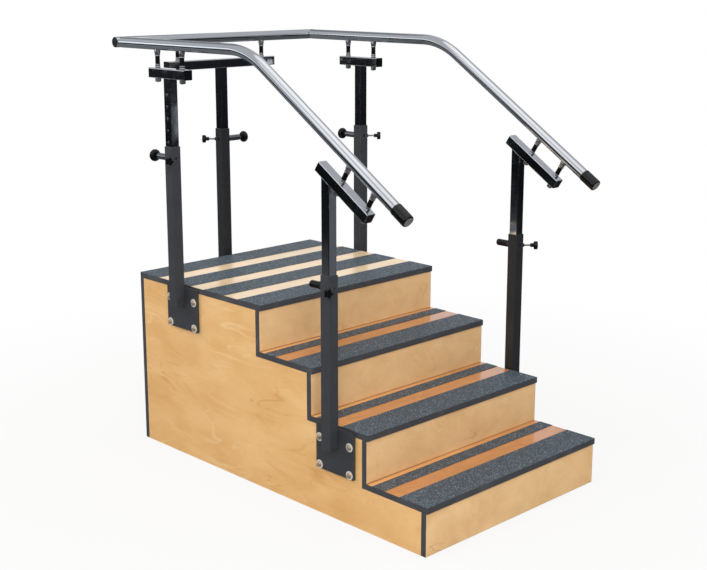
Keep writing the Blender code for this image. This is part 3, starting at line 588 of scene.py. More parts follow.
railZ = 1.3845
railTilt = math.radians(32.9)
postOffset = 0.0288       # from the carcass's side to a post's axis
barDrop = 0.0735          # from the rail's centre line to the head bar's top face
barWidth = 0.032
postPlaces = {
    # name: rail, x, y, step that it stands beside, turn, mirror
    "left_rear": ("left", 0.249, -postOffset, 4, 0, 1),
    "left_front": ("left", 0.986, -postOffset, 2, 0, 1),
    "back": ("back", -postOffset, stairWidth / 2, 4, -90, 1),
    "right_rear": ("right", 0.249, stairWidth + postOffset, 4, 0, -1),
    "right_front": ("right", 0.986, stairWidth + postOffset, 2, 0, -1),
}
barReaches = {
    # name: uphill end, downhill end and studs, from where the post meets the bar's top face
    "left_rear": (-0.095, 0.095, (-0.065, 0.065)),
    "right_rear": (-0.095, 0.095, (-0.065, 0.065)),
    "back": (-0.2375, 0.2375, (-0.188, 0.188)),
    "left_front": (-0.030, 0.205, (0.0655, 0.183)),
    "right_front": (-0.030, 0.205, (0.0655, 0.183)),
}


def onPost(name, height):
    # A frame on a post's axis: local +Y faces the carcass, the plunger is on local -X
    rail, x, y, step, turn, mirror = postPlaces[name]
    spin = Matrix.Rotation(math.radians(turn), 4, "Z") @ Matrix.Diagonal((1, mirror, 1, 1))
    return Matrix.Translation(origin + Vector((x, y, height))) @ spin


def postFrame(name):
    # Its origin is at the height of the tread that the post stands beside
    return onPost(name, postPlaces[name][3] * riser)


def railFrame(name):
    # Local X runs down along the rail and local Z is square to it
    tilt = railTilt if name.endswith("front") else 0
    drop = max(0.0, postPlaces[name][1] - platformDepth) * math.tan(tilt)
    foot = Matrix.Translation((barDrop * math.tan(tilt), 0, 0))
    return onPost(name, railZ - drop) @ Matrix.Rotation(tilt, 4, "Y") @ foot


# Boards: a veneered core with an edging strip round it

boardLook = {"band": 1.0 * mm, "ease": 0.5 * mm, "corner": 1.0 * mm, "core": 0.15 * mm,
             "sawn": 0.4 * mm}
turnToX = Matrix(((0, 0, 1, 0), (1, 0, 0, 0), (0, 1, 0, 0), (0, 0, 0, 1)))


def bandedBoard(node, name, thicknessAxis, veneer, slot):
    low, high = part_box(node)
    band, ease, corner, core = (boardLook[key] for key in ("band", "ease", "corner", "core"))
    inset = Vector((band, band, band))
    inset["xyz".index(thicknessAxis)] = 0
    addPiece(name, roundedBox(low + inset, high - inset, core, 1), veneer, "stairs", slot, node)
    size = high - low
    if thicknessAxis == "z":
        turn, (wide, tall, thick) = Matrix.Identity(4), size
    else:
        turn, (thick, wide, tall) = turnToX, size
    out, eased, into = (rectangle(wide - 2 * inwards, tall - 2 * inwards, radius, 3)
                        for inwards, radius in ((0, corner), (ease, corner - ease), (band, core)))
    half = thick / 2
    strip = stack([(out, -half + ease), (out, half - ease), (eased, half), (into, half),
                   (into, -half), (eased, -half)], ring=True)
    if thicknessAxis == "x":
        # the foot of an upright board is left as it was sawn
        for face in strip.polygons:
            x, y, z = face.center
            face.material_index = int(y < band - tall / 2 and abs(x) < wide / 2 - band)
    addPiece(name + "_edging", strip, [edging, plyEdge], "stairs", slot, node,
             Matrix.Translation((low + high) / 2) @ turn)


def addSidePanel(side):
    # The stair-shaped side, standing behind the risers and under the treads
    node = f"side_panel_{side}"
    low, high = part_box(node)
    start = low.x - origin.x
    outline = [(start, 0), (start, risers * riser - board - gap)]
    for step in range(risers, 0, -1):
        x = nosingX(step) - nosing - board - gap
        below = (step - 1) * riser - board - gap if step > 1 else 0
        outline += [(x, step * riser - board - gap), (x, below)]
    bm = bmesh.new()
    skin(bm, [[bm.verts.new((origin.x + x, y, z)) for x, z in outline] for y in (low.y, high.y)])
    rims = [e for e in bm.edges if abs(e.verts[0].co.y - e.verts[1].co.y) < 1e-6]
    bmesh.ops.bevel(bm, geom=rims, offset=boardLook["sawn"], segments=1, profile=0.5,
                    affect="EDGES")
    for face in bm.faces:
        face.material_index = 0 if abs(face.normal.y) > 0.5 else 1
    addPiece(f"side_{side}", meshFrom(bm), [sideVeneer, plyEdge], "stairs", "ply_side", node)


for side in ("left", "right"):
    addSidePanel(side)
bandedBoard("back_panel", "back_board", "x", sideVeneer, "ply_side")
for number in range(1, risers + 1):
    bandedBoard(f"riser_{number}", f"riser_board_{number}", "x", riserVeneer, "ply_riser")
for number in range(1, risers):
    bandedBoard(f"tread_{number}", f"tread_board_{number}", "z", treadVeneer, "ply_tread")
bandedBoard("platform_board", "platform_top", "z", platformVeneer, "ply_tread")
addPiece("joist_under_platform", roundedBox(*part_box("platform_joist"), 1.5 * mm), pine, "stairs",
         "pine", "platform_joist")
print("carcass ready")


# Anti-slip strips

stripNodes = [f"grip_platform_{n}" for n in range(1, 5)]
stripNodes += [f"grip_tread_{n}_{edge}" for n in range(1, 4) for edge in ("back", "front")]
for node in stripNodes:
    addPiece(node.replace("grip", "vinyl_strip"), roundedBox(*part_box(node), 0.35 * mm), vinyl,
             "stairs", "anti_slip", node)
print("anti-slip strips ready")


# Sockets: the outer tube, its base plate, the clamp's boss and the bolts

socketSizes = {"width": 0.038, "wall": 0.0025, "radius": 0.004, "below": -0.066, "above": 0.4627,
               "lock": 0.4247, "noseHole": 0.0063, "pinHole": 0.0043, "viewHole": 0.0055,
               "clampHole": 0.0033, "boss": 0.006, "bossFoot": 0.019, "bossFace": 0.0285}
plateSizes = {"width": 0.160, "height": 0.145, "thickness": 0.010, "drop": 0.005, "ease": 0.8 * mm}
boltSizes = {"spacing": 0.129, "low": 0.013, "high": 0.100, "washer": 0.0135, "washerThick": 0.002,
             "head": 0.0095, "headHeight": 0.0065, "shank": 0.005, "nut": 0.0092, "nutThick": 0.008}
socketFace = socketSizes["width"] / 2
plateFace = socketFace - 0.5 * mm         # the weld's depth
plateBottom = -plateSizes["drop"] - plateSizes["height"]
lock = socketSizes["lock"]
plungerFrame = aim((-socketFace, 0, lock), (-1, 0, 0))
clampFrame = aim((0, 0, lock), Vector((1, -1, 0)).normalized())
sockets = list(postPlaces)
boltFrames = [aim((x, plateFace, plateBottom + z), (0, -1, 0))
              for x in (-boltSizes["spacing"] / 2, boltSizes["spacing"] / 2)
              for z in (boltSizes["low"], boltSizes["high"])]


def domeProfile(radius, height, foot, steps=8):
    # A round bolt head: part of a sphere on a short straight side
    side = 0.15 * height
    rise = height - side
    ball = (radius ** 2 + rise ** 2) / (2 * rise)
    reach = math.asin(min(1.0, radius / ball))
    points = [(ball * math.sin(reach * i / steps),
               foot + side + rise - ball * (1 - math.cos(reach * i / steps)))
              for i in range(steps + 1)]
    return points + [(radius, foot), (0, foot)]


def hexNut(radius, bottom, top, sides=48):
    # A hexagon nut with turned chamfers top and bottom
    def outline(limit):
        points, flat = [], math.pi / 3
        for angle in around(sides):
            reach = min(limit, radius * math.cos(flat / 2) / math.cos(angle % flat - flat / 2))
            points.append((reach * math.cos(angle), reach * math.sin(angle)))
        return points
    chamfer, face = 0.145 * radius, 0.90 * radius
    return stack([(outline(face), bottom), (outline(radius), bottom + chamfer),
                  (outline(radius), top - chamfer), (outline(face), top)])


def socketTube(nose):
    # A square tube with holes for the plunger's nose, the view of its tip, and the clamp
    mesh = squareTube(*(socketSizes[key] for key in ("width", "wall", "radius", "below", "above")),
                      0.5 * mm)
    return settled(mesh, [
        moved(roundBar(nose, -0.006, 0.003), plungerFrame),
        moved(roundBar(socketSizes["viewHole"], 0.010, 0.026), aim((0, 0, lock), (1, 0, 0))),
        moved(roundBar(socketSizes["clampHole"], 0.015, 0.030), clampFrame)])


def clampBoss():
    # The welded nut that the clamp screw runs in, coped to the tube's corner
    inside, outside = socketSizes["clampHole"], socketSizes["boss"]
    foot, face = socketSizes["bossFoot"], socketSizes["bossFace"]
    mesh = lathed([(inside, foot), (outside, foot), (outside, face), (inside, face)], 0.5 * mm)
    hollow = socketSizes["width"] - 2 * socketSizes["wall"]
    corner = rectangle(hollow, hollow, socketSizes["radius"] - socketSizes["wall"])
    return settled(moved(mesh, clampFrame), [stack([(corner, lock - 0.02), (corner, lock + 0.02)])])


def plateBolt():
    # Washer and head outside the plate, and the nut on the bolt's end inside the carcass
    shank, rim, thick = boltSizes["shank"], boltSizes["washer"], boltSizes["washerThick"]
    washer = lathed([(shank, 0), (rim, 0), (rim, thick), (shank, thick)], 0.5 * mm)
    head = turned(domeProfile(boltSizes["head"], boltSizes["headHeight"], thick))
    top = -plateSizes["thickness"] - board - 2 * gap
    bottom = top - boltSizes["nutThick"]
    nut = joined([hexNut(boltSizes["nut"], bottom, top),
                  roundBar(shank - 0.2 * mm, bottom - 2 * mm, top)])
    return ("washers", washer, washerPlate), ("bolt_heads", head, boltPlate), ("inner_nuts", nut, zinc)


rearTube, frontTube = socketTube(socketSizes["noseHole"]), socketTube(socketSizes["pinHole"])
boss = clampBoss()
plate = roundedBox((-plateSizes["width"] / 2, plateFace, plateBottom),
                   (plateSizes["width"] / 2, plateFace + plateSizes["thickness"],
                    -plateSizes["drop"]), plateSizes["ease"])
fasteners = [(kind, joined([moved(shape, bolt) for bolt in boltFrames]), look)
             for kind, shape, look in plateBolt()]
for post in sockets:
    place, node = postFrame(post), f"socket_{post}"
    tube = frontTube if post.endswith("front") else rearTube
    # painted shade: the back and right front sockets take the darker copy of the powder coat
    coat = paintedShadePowder if post in ("back", "right_front") else powder
    for kind, shape in (("socket_tube", tube), ("base_plate", plate), ("clamp_boss", boss)):
        addPiece(f"{kind}_{post}", shape, coat, "stairs", "powder_coat", node, place)
    for kind, shape, look in fasteners:
        addPiece(f"{kind}_{post}", shape, look, "stairs", "chrome", node, place)
print("sockets ready")


# Spring plungers: local Z points out of the post's face

pinSizes = {"radius": 0.004, "tip": -0.0024, "collar": 0.0064, "collarStart": 0.024,
            "collarThick": 0.003, "travel": 0.008}
barrelSizes = {"radius": 0.0105, "length": 0.056, "mouth": 0.0092, "bevel": 0.0016, "nose": 0.006,
               "noseEnd": -0.0022, "bore": 0.0043, "spring": 0.007, "springStart": 0.010,
               "springEnd": 0.048}
knobSizes = {"radius": 0.020, "start": 0.066, "length": 0.024, "socket": 0.004}
coreSizes = {"radius": 0.009, "length": 0.046, "flange": 0.0105, "flangeThick": 0.003,
             "springEnd": 0.042}
capSizes = {"radius": 0.011, "bore": 0.0093, "start": 0.013, "top": 0.0024, "crown": 0.0083}
springSizes = {"radius": 0.0056, "wire": 0.0006, "spare": 0.1 * mm, "rearTurns": 8, "frontTurns": 6}


def lockPin(end):
    # The locking tip, the collar that the spring pushes on, and the stem up to its knob or cap
    radius, collar, tip = pinSizes["radius"], pinSizes["collar"], pinSizes["tip"]
    low, high = pinSizes["collarStart"], pinSizes["collarStart"] + pinSizes["collarThick"]
    return lathed([(0, end), (radius, end), (radius, high), (collar, high), (collar, low),
                   (radius, low), (radius, tip + 0.8 * mm), (radius - 0.8 * mm, tip), (0, tip)],
                  0.2 * mm, 24)


def springRoom(end):
    # The wide part of a bore, where the spring sits
    bore, wide, start = barrelSizes["bore"], barrelSizes["spring"], barrelSizes["springStart"]
    return [(bore, start), (wide, start), (wide, end), (bore, end)]


def coil(end, turns, perTurn=20):
    # A compression spring with its end turns laid close, from the pin's collar to end
    radius, wire = springSizes["radius"], springSizes["wire"]
    bottom = pinSizes["collarStart"] + pinSizes["collarThick"] + springSizes["spare"]
    height = end - springSizes["spare"] - bottom - 2 * wire
    points = []
    for i in range(turns * perTurn + 1):
        t = i / (turns * perTurn)
        angle = 2 * math.pi * turns * t
        z = bottom + wire + height * (0.3 * t + 0.7 * (3 * t ** 2 - 2 * t ** 3))
        points.append(Vector((radius * math.cos(angle), radius * math.sin(angle), z)))
    return piped([(point, along, wire) for point, along in zip(points, headings(points))], 8)


def mushroomKnob():
    # A flat dome in front, drawn in to a neck behind
    radius, start, length = knobSizes["radius"], knobSizes["start"], knobSizes["length"]
    middle = start + length * 0.5
    points = []
    for i in range(13):
        t = math.pi / 2 * i / 12
        points.append((radius * math.sin(t) ** 0.9, middle + (length * 0.5) * math.cos(t) ** 0.85))
    for i in range(1, 11):
        t = math.pi / 2 * i / 10
        points.append((radius * (0.46 + 0.54 * math.cos(t)), middle - length * 0.42 * math.sin(t)))
    points += [(radius * 0.46, start + 0.4 * mm), (radius * 0.42, start), (0, start)]
    return turned(points, 48)


def rearBarrel():
    radius, end, bore = barrelSizes["radius"], barrelSizes["length"], barrelSizes["bore"]
    nose, tip = barrelSizes["nose"], barrelSizes["noseEnd"]
    return lathed([(bore, end), (barrelSizes["mouth"], end), (radius, end - barrelSizes["bevel"]),
                   (radius, gap), (nose, gap), (nose, tip), (bore, tip),
                   *springRoom(barrelSizes["springEnd"])])


def pullCore():
    # What a pull cap slides over, on a flange at the tube's face
    radius, end, bore = coreSizes["radius"], coreSizes["length"], barrelSizes["bore"]
    flange, thick = coreSizes["flange"], coreSizes["flangeThick"]
    return lathed([(bore, end), (radius, end), (radius, thick), (flange, thick), (flange, 0),
                   (bore, 0), *springRoom(coreSizes["springEnd"])])


def pullCap(end):
    radius, bore, start = capSizes["radius"], capSizes["bore"], capSizes["start"]
    top, crown = end + capSizes["top"], capSizes["crown"]
    return lathed([(0, top), (crown, top), (radius, end), (radius, start), (bore, start),
                   (bore, end), (0, end)], 0.8 * mm, 40, 4)


# When the pin is pushed in, the cap stops 0.6 mm short of the core's end
capEnd = coreSizes["length"] + pinSizes["travel"] + 0.6 * mm
rearPlunger = [("barrel", rearBarrel(), blackPlate, "powder_coat", "plunger_barrel"),
               ("pull_knob", mushroomKnob(), plastic, "black_plastic", "plunger"),
               ("lock_pin", lockPin(knobSizes["start"] + knobSizes["socket"]), zinc, "chrome",
                "plunger"),
               ("plunger_spring", coil(barrelSizes["springEnd"], springSizes["rearTurns"]), zinc,
                "chrome", "socket")]
frontPlunger = [("pull_core", pullCore(), powder, "powder_coat", "socket"),
                ("pull_cap", pullCap(capEnd), plastic, "black_plastic", "plunger"),
                ("lock_pin", lockPin(capEnd), zinc, "chrome", "plunger"),
                ("plunger_spring", coil(coreSizes["springEnd"], springSizes["frontTurns"]), zinc,
                 "chrome", "socket")]
for post in sockets:
    for kind, shape, look, slot, node in frontPlunger if post.endswith("front") else rearPlunger:
        body = f"{post}_plunger" if node == "plunger" else "stairs"
        addPiece(f"{kind}_{post}", shape, look, body, slot, f"{node}_{post}",
                 postFrame(post) @ plungerFrame)
print("plungers ready")


# Star-grip clamp screws

starSizes = {"radius": 0.0124, "lobe": 0.0019, "lobes": 5, "start": 0.0602, "thick": 0.013,
             "hub": 0.0065, "hubStart": 0.0487, "screw": 0.003, "tip": 0.0217}


def starGrip():
    low, high = starSizes["start"], starSizes["start"] + starSizes["thick"]
    hub, start = starSizes["hub"], starSizes["hubStart"]

    def outline(inset):
        points = []
        for angle in around(100):
            wave = math.cos(starSizes["lobes"] * angle)
            reach = starSizes["radius"] + starSizes["lobe"] * wave - inset
            points.append((reach * math.cos(angle), reach * math.sin(angle)))
        return points

    # the edge of the star as (how far in, height), from the back to the sunk middle in front
    edge = [(0.0030, low), (0.0009, low + 0.0004), (0.0, low + 0.0016), (0.0, high - 0.0024),
            (0.0004, high - 0.0012), (0.0016, high - 0.0004), (0.0036, high), (0.0060, high),
            (0.0068, high - 0.0006)]
    foot = low + 0.5 * mm
    return joined([stack([(outline(inset), z) for inset, z in edge]),
                   lathed([(0, start), (hub - 0.6 * mm, start), (hub, start + 1 * mm), (hub, foot),
                           (0, foot)])])


def clampScrew():
    radius, top, tip = starSizes["screw"], starSizes["hubStart"] + 2 * mm, starSizes["tip"]
    return lathed([(0, top), (radius, top), (radius, tip + 0.6 * mm), (radius - 0.6 * mm, tip),
                   (0, tip)], 0.2 * mm, 24)


star, screw = starGrip(), clampScrew()
for post in sockets:
    for kind, shape, look, slot in (("star_grip", star, plastic, "black_plastic"),
                                    ("clamp_screw", screw, zinc, "chrome")):
        addPiece(f"{kind}_{post}", shape, look, f"{post}_clamp", slot, f"clamp_{post}",
                 postFrame(post) @ clampFrame)
print("clamp screws ready")


# Uprights and head bars

uprightSizes = {"wall": 0.002, "radius": 0.003, "belowLock": 0.2267, "pitch": 0.038, "below": 3,
                "above": 5, "pinHole": 0.0045, "faceHole": 0.0033, "firstFaceHole": 0.4766,
                "faceHoles": 5, "studHole": 0.0043}
plugSizes = {"depth": 0.015, "sunk": 0.6 * mm, "edge": 0.6 * mm, "corner": 1.2 * mm, "play": 0.1 * mm}
# (radius, distance from the post's axis) of the rim of a small hole
rimProfile = [(0.0018, 0.0140), (0.0033, 0.0140), (0.0033, 0.0160), (0.0046, 0.0160),
              (0.0043, 0.0163), (0.0018, 0.0163)]


def holeCutters(radius, heights, direction):
    return [moved(roundBar(radius, 0.008, 0.022), aim((0, 0, z), direction)) for z in heights]


def addUpright(post):
    rail, step = postPlaces[post][0], postPlaces[post][3]
    body, node = f"{rail}_handrail", f"upright_{post}"
    place, headPlace = postFrame(post), railFrame(post)
    wall, radius, pitch = (uprightSizes[key] for key in ("wall", "radius", "pitch"))
    uphill, downhill, studs = barReaches[post]
    tube = squareTube(barWidth, wall, radius, lock - uprightSizes["belowLock"], railZ - step * riser)
    cutters = holeCutters(uprightSizes["pinHole"], [
        lock + pitch * k for k in range(-uprightSizes["below"], uprightSizes["above"] + 1)],
        (-1, 0, 0))
    # only the left rear upright shows a row of small holes, on its outer face
    small = [uprightSizes["firstFaceHole"] + pitch * k
             for k in range(uprightSizes["faceHoles"] if post == "left_rear" else 0)]
    cutters += holeCutters(uprightSizes["faceHole"], small, (0, -1, 0))
    # the tube ends inside its head bar's lower wall
    over = roundedBox((-0.6, -0.6, -barDrop - barWidth + 1 * mm), (0.6, 0.6, 0.6), 0.1 * mm)
    cutters = [joined(cutters), moved(over, place.inverted() @ headPlace)]
    addPiece(f"inner_tube_{post}", settled(tube, cutters), squareChrome, body, "chrome", node, place)
    if small:
        rim = lathed(rimProfile, 0.1 * mm, 24)
        rims = joined([moved(rim, aim((0, 0, z), (0, -1, 0))) for z in small])
        addPiece(f"hole_rims_{post}", rims, satinChrome, body, "chrome", node, place)
    along = aim((0, 0, -barDrop - barWidth / 2), (1, 0, 0))
    bar = squareTube(barWidth, wall, radius, uphill, downhill)
    holes = joined([moved(roundBar(uprightSizes["studHole"], -0.12, -0.06),
                          Matrix.Translation((stud, 0, 0))) for stud in studs])
    addPiece(f"head_bar_{post}", settled(moved(bar, along), [holes]), squareChrome, body, "chrome",
             node, headPlace)
    depth, sunk, edge, corner = (plugSizes[key] for key in ("depth", "sunk", "edge", "corner"))
    inside = barWidth - 2 * wall - plugSizes["play"]
    out = rectangle(inside, inside, corner)
    eased = rectangle(inside - 2 * edge, inside - 2 * edge, 0.8 * mm)
    for end, start, stop in (("uphill", uphill + sunk, uphill + depth),
                             ("downhill", downhill - depth, downhill - sunk)):
        plug = stack([(eased, start), (out, start + edge), (out, stop - edge), (eased, stop)])
        addPiece(f"bar_plug_{post}_{end}", moved(plug, along), plastic, body, "black_plastic", node,
                 headPlace)


for post in sockets:
    addUpright(post)
print("uprights ready")


# Handrails, their plugs and caps

railSizes = {"radius": 0.0175, "wall": 0.0015, "bend": 0.280, "frontLength": 0.7825,
             "backHalf": 0.4423, "plug": 0.0155, "plugLength": 0.012, "plugProud": 0.5 * mm}
capLook = {"length": 0.056, "radius": 0.019, "end": 0.004, "face": 0.0158, "paintedLightFace": 0.0152}
downSlope = Vector((math.cos(railTilt), 0, -math.sin(railTilt)))
railEnd = Vector((platformDepth, 0, railZ)) + downSlope * railSizes["frontLength"]
railStart = Vector((-postOffset + railSizes["radius"] + 1.5 * mm, 0, railZ))


def sideRoute(steps=28):
    # Level over the platform, one round bend, then down parallel to the steps
    bend = railSizes["bend"]
    middle = Vector((platformDepth - bend * math.tan(railTilt / 2), 0, railZ - bend))
    turns = [railTilt * i / steps for i in range(steps + 1)]
    curve = [middle + Vector((math.sin(turn), 0, math.cos(turn))) * bend for turn in turns]
    return [railStart, *curve, railEnd - downSlope * (capLook["end"] + gap)]


def roundTube(points, ease=0.3 * mm):
    # A rail along a path: its outside, its bore, and eased ends
    radius, bore = railSizes["radius"], railSizes["radius"] - railSizes["wall"]
    start, end = points[0], points[-1]
    first, last = (points[1] - start).normalized(), (end - points[-2]).normalized()
    outer = [start + first * ease, *points[1:-1], end - last * ease]
    path = list(zip(outer, headings(outer)))
    return piped([(start, first, radius - ease), *[(point, along, radius) for point, along in path],
                  (end, last, radius - ease), (end, last, bore),
                  *[(point, along, bore) for point, along in path[-2:0:-1]],
                  (start, first, bore)], 48, ring=True)


def railCap():
    # Local Z points out of the end. The end face gets a paler grey, painted light, with a small sunk
    # centre.
    radius, length, end, face = (capLook[key] for key in ("radius", "length", "end", "face"))
    bore = railSizes["radius"] + gap
    profile = [(0, -1.0 * mm), (4.6 * mm, -1.0 * mm), (5.6 * mm, -0.1 * mm), (15.0 * mm, 0.0),
               (face, -0.2 * mm)]
    for i in range(1, 9):
        t = math.pi / 2 * i / 8
        profile.append((face + (radius - face) * math.sin(t), -0.2 * mm - 4.5 * mm * (1 - math.cos(t))))
    profile += [(radius, -length + 0.6 * mm), (radius - 0.5 * mm, -length), (bore, -length),
                (bore, -end), (0, -end)]
    mesh = turned(profile, 48)
    for polygon in mesh.polygons:
        x, y, z = polygon.center
        polygon.material_index = int(z > -1.6 * mm and math.hypot(x, y) < capLook["paintedLightFace"])
    return mesh


cap = railCap()
plug = lathed([(0, -railSizes["plugProud"]), (railSizes["plug"], -railSizes["plugProud"]),
               (railSizes["plug"], -railSizes["plugLength"]), (0, -railSizes["plugLength"])],
              0.8 * mm, 40)
for side, y in (("left", -postOffset), ("right", stairWidth + postOffset)):
    place = Matrix.Translation(origin + Vector((0, y, 0)))
    body, node = f"{side}_handrail", f"rail_{side}"
    addPiece(f"side_rail_{side}", roundTube(sideRoute()), chrome, body, "chrome", node, place)
    addPiece(f"rail_plug_{side}", plug, plastic, body, "black_plastic", node,
             place @ aim(railStart, (-1, 0, 0)))
    addPiece(f"end_cap_{side}", cap, [rubber, rubberEndPaintedLight], body, "rubber", f"rail_cap_{side}",
             place @ aim(railEnd, downSlope))
backPlace = Matrix.Translation(origin + Vector((-postOffset, stairWidth / 2, railZ)))
backEnds = [Vector((0, end * railSizes["backHalf"], 0)) for end in (-1, 1)]
addPiece("cross_rail_back", roundTube([backEnds[0], Vector((0, 0, 0)), backEnds[1]]), chrome,
         "back_handrail", "chrome", "rail_back", backPlace)
for name, end in zip(("left", "right"), backEnds):
    addPiece(f"back_rail_plug_{name}", plug, plastic, "back_handrail", "black_plastic", "rail_back",
             backPlace @ aim(end, end))
print("handrails ready")


# Rail supports: a collar coped to the rail, a sleeve, a lock ring and a nut under the bar.
# Profiles are (radius, height from the rail's centre line).

supportSizes = {"collarEnd": -0.0365, "ringTop": -0.0615, "ringEnd": -0.0732, "sleeve": 0.0075,
                "nut": 0.00975, "nutTop": -0.1058, "nutEnd": -0.1180, "stud": 0.004, "tail": -0.1195}
collarProfile = [(0, -0.0123), (0.010, -0.0123), (0.010, -0.0245), (0.0086, -0.0285),
                 (0.0082, -0.0335), (0.0090, -0.0350), (0.0088, supportSizes["collarEnd"]),
                 (0, supportSizes["collarEnd"])]
ringProfile = [(0, supportSizes["ringTop"]), (0.0080, supportSizes["ringTop"]), (0.0083, -0.0635),
               (0.0078, -0.0645), (0.0078, -0.0690), (0.009, -0.0702),
               (0.009, supportSizes["ringEnd"]), (0, supportSizes["ringEnd"])]


def supportParts():
    # Kind, mesh, finish and slot of each part, from the rail down
    collarEnd, ringTop, ringEnd, sleeve = (
        supportSizes[key] for key in ("collarEnd", "ringTop", "ringEnd", "sleeve"))
    nut, nutTop, nutEnd, stud, tail = (
        supportSizes[key] for key in ("nut", "nutTop", "nutEnd", "stud", "tail"))
    rail = moved(roundBar(railSizes["radius"] + 0.05 * mm, -0.03, 0.03, 64), aim((0, 0, 0), (1, 0, 0)))
    under = lathed([(0, nutTop - gap), (stud, nutTop - gap), (stud, tail + 0.6 * mm),
                    (stud - 0.6 * mm, tail), (0, tail)], 0.2 * mm, 24)
    return [("collar", settled(lathed(collarProfile, 0.8 * mm, 40, 4), [rail]), satinChrome, "chrome"),
            ("sleeve", lathed([(0, collarEnd), (sleeve, collarEnd), (sleeve, ringTop), (0, ringTop)],
                              0.5 * mm), plastic, "black_plastic"),
            ("lock_ring", lathed(ringProfile, 0.4 * mm, 40), satinChrome, "chrome"),
            ("under_nut", joined([hexNut(nut, nutEnd, nutTop), under]), satinChrome, "chrome"),
            ("shank", roundBar(stud - 0.1 * mm, nutTop, ringEnd + 1 * mm, 24), zinc, "chrome")]


supports = supportParts()
for post in sockets:
    body, studs = f"{postPlaces[post][0]}_handrail", barReaches[post][2]
    for number, stud in enumerate(studs, 1):
        place = railFrame(post) @ Matrix.Translation((stud, 0, 0))
        for kind, shape, look, slot in supports:
            addPiece(f"{kind}_{post}_{number}", shape, look, body, slot,
                     f"rail_support_{post}_{number}", place)
print("rail supports ready")


# Floor, light and camera

stageLook = {"floor": "#D9D9D6", "white": "#FFFFFF", "worldStrength": 0.5, "floorLift": 0.84,
             "liftFrom": 0.9, "liftTo": 2.6}


def seenAsBackground(add):
    # 1 for the camera, in reflections and through glass; 0 where the stairs are lit
    rays = add("LightPath")
    seen = add("Math", {"operation": "MAXIMUM"},
               {0: rays.outputs["Is Camera Ray"], 1: rays.outputs["Is Glossy Ray"]})
    return add("Math", {"operation": "MAXIMUM"},
               {0: seen, 1: rays.outputs["Is Transmission Ray"]})


def studioFloor():
    # Pale matt floor, seen lifted towards white, wholly so far from the stairs;
    # what lights the stairs stays the plain floor.
    material, add = newMaterial("palePaperFloor")
    matt = add("BsdfDiffuse", {"Color": stageLook["floor"]})
    glow = add("Emission", {"Color": stageLook["white"], "Strength": 1.0})
    away = add("VectorMath", {"operation": "LENGTH"}, {0: "Object"})
    far = add("MapRange", {
        "interpolation_type": "SMOOTHSTEP", "From Min": stageLook["liftFrom"],
        "From Max": stageLook["liftTo"], "To Min": stageLook["floorLift"], "To Max": 1.0},
        {"Value": away})
    lift = add("Math", {"operation": "MULTIPLY"}, {0: seenAsBackground(add), 1: far})
    mixed = add("MixShader", links={0: lift, 1: matt, 2: glow})
    add("OutputMaterial", links={"Surface": mixed})
    bm = bmesh.new()
    bmesh.ops.create_grid(bm, x_segments=1, y_segments=1, size=60)
    floor = bpy.data.objects.new("studio_floor", meshFrom(bm))
    floor.data.materials.append(material)
    floor.location = (0, 0, -0.2 * mm)
    bpy.context.scene.collection.objects.link(floor)


def studioWorld():
    world = bpy.data.worlds.new("pale_studio")
    bpy.context.scene.world = world
    add = functools.partial(addNode, emptyTree(world))
    strength = add("MapRange", {"To Min": stageLook["worldStrength"], "To Max": 1.0},
                   {"Value": seenAsBackground(add)})
    back = add("Background", {"Color": stageLook["white"]}, {"Strength": strength})
    add("OutputWorld", links={"Surface": back})


softboxes = {
    # name: place, what it is turned to, width and height, power
    "left_softbox": ((-3.3, -2.55, 2.75), (0, 0, 0.9), (2.6, 1.6), 82),
    "front_softbox": ((3.4, -3.2, 2.7), (0, 0, 0.6), (2.4, 2.4), 140),
    "overhead_softbox": ((0.2, 0, 4.4), (0.2, 0, 0.5), (2.2, 3.4), 42),
    "right_softbox": ((2.2, 3.8, 2.6), (0, 0, 0.6), (1.8, 1.8), 45),
}
# Glowing cards only reflections see: painted highlights and reflections; glint_card paints one glint on
# the left rear upright
cards = {
    # name: place, what it is turned to, width and height, edge colour, brighter in the middle
    "dim_card": ((-3.2, 0.9, 3.4), (-0.3, 0, 1.3), (2.6, 2.2), "#86898E", 1.0),
    "floor_card": ((-2.8, 0.4, 0.01), (-2.8, 0.4, 1.0), (2.6, 5.0), "#6E7175", 1.0),
    "backdrop_card": ((-3.7, 3.5, 1.55), (0, 0, 0.8), (3.4, 2.0), "#EDEDED", 1.0),
    "key_card": ((-3.3, -2.6, 1.81), (-0.3, -0.3, 1.5), (3.6, 1.28), "#96999D", 5.0),
    "side_card": ((-4.1, -2.6, 0.01), (-4.1, -2.6, 1.0), (1.8, 1.0), "#8A8D90", 1.0),
    "overhead_card": ((0.2, 0, 4.4), (0.2, 0, 0.5), (2.3, 3.6), "#FDFDFF", 1.3),
    "wall_card": ((-0.64, -3.5, 3.4), (0.35, 0, 1.15), (1.7, 3.9), "#D2D5D8", 1.95),
    "front_card": ((3.4, -3.2, 2.7), (0, 0, 0.6), (2.4, 2.4), "#F2F3F5", 2.4),
    "low_card": ((2.0, 1.10, 0.5), (0.3, -0.4, 1.0), (0.18, 0.6), "#62666A", 1.0),
    "glint_card": ((3.0, 2.13, 0.67), (-0.45, -0.42, 1.14), (0.15, 0.2), "#8A8E92", 1.0),
}
tentLook = {
    "radius": 6.0, "middle": 0.9,
    # position up the tent and colour, and position out from the middle and colour
    "walls": [(0.0, "#101113"), (0.13, "#1E1F22"), (0.20, "#3E4043"), (0.28, "#606266"),
              (0.34, "#808387"), (0.43, "#AAADB2"), (0.53, "#BDC0C4"), (1.0, "#B9BCC0")],
    "floor": [(0.0, "#4C4D4F"), (0.32, "#56585A"), (0.50, "#505153"), (0.62, "#3C3D3F"),
              (0.74, "#1C1D1F"), (1.0, "#131416")],
}


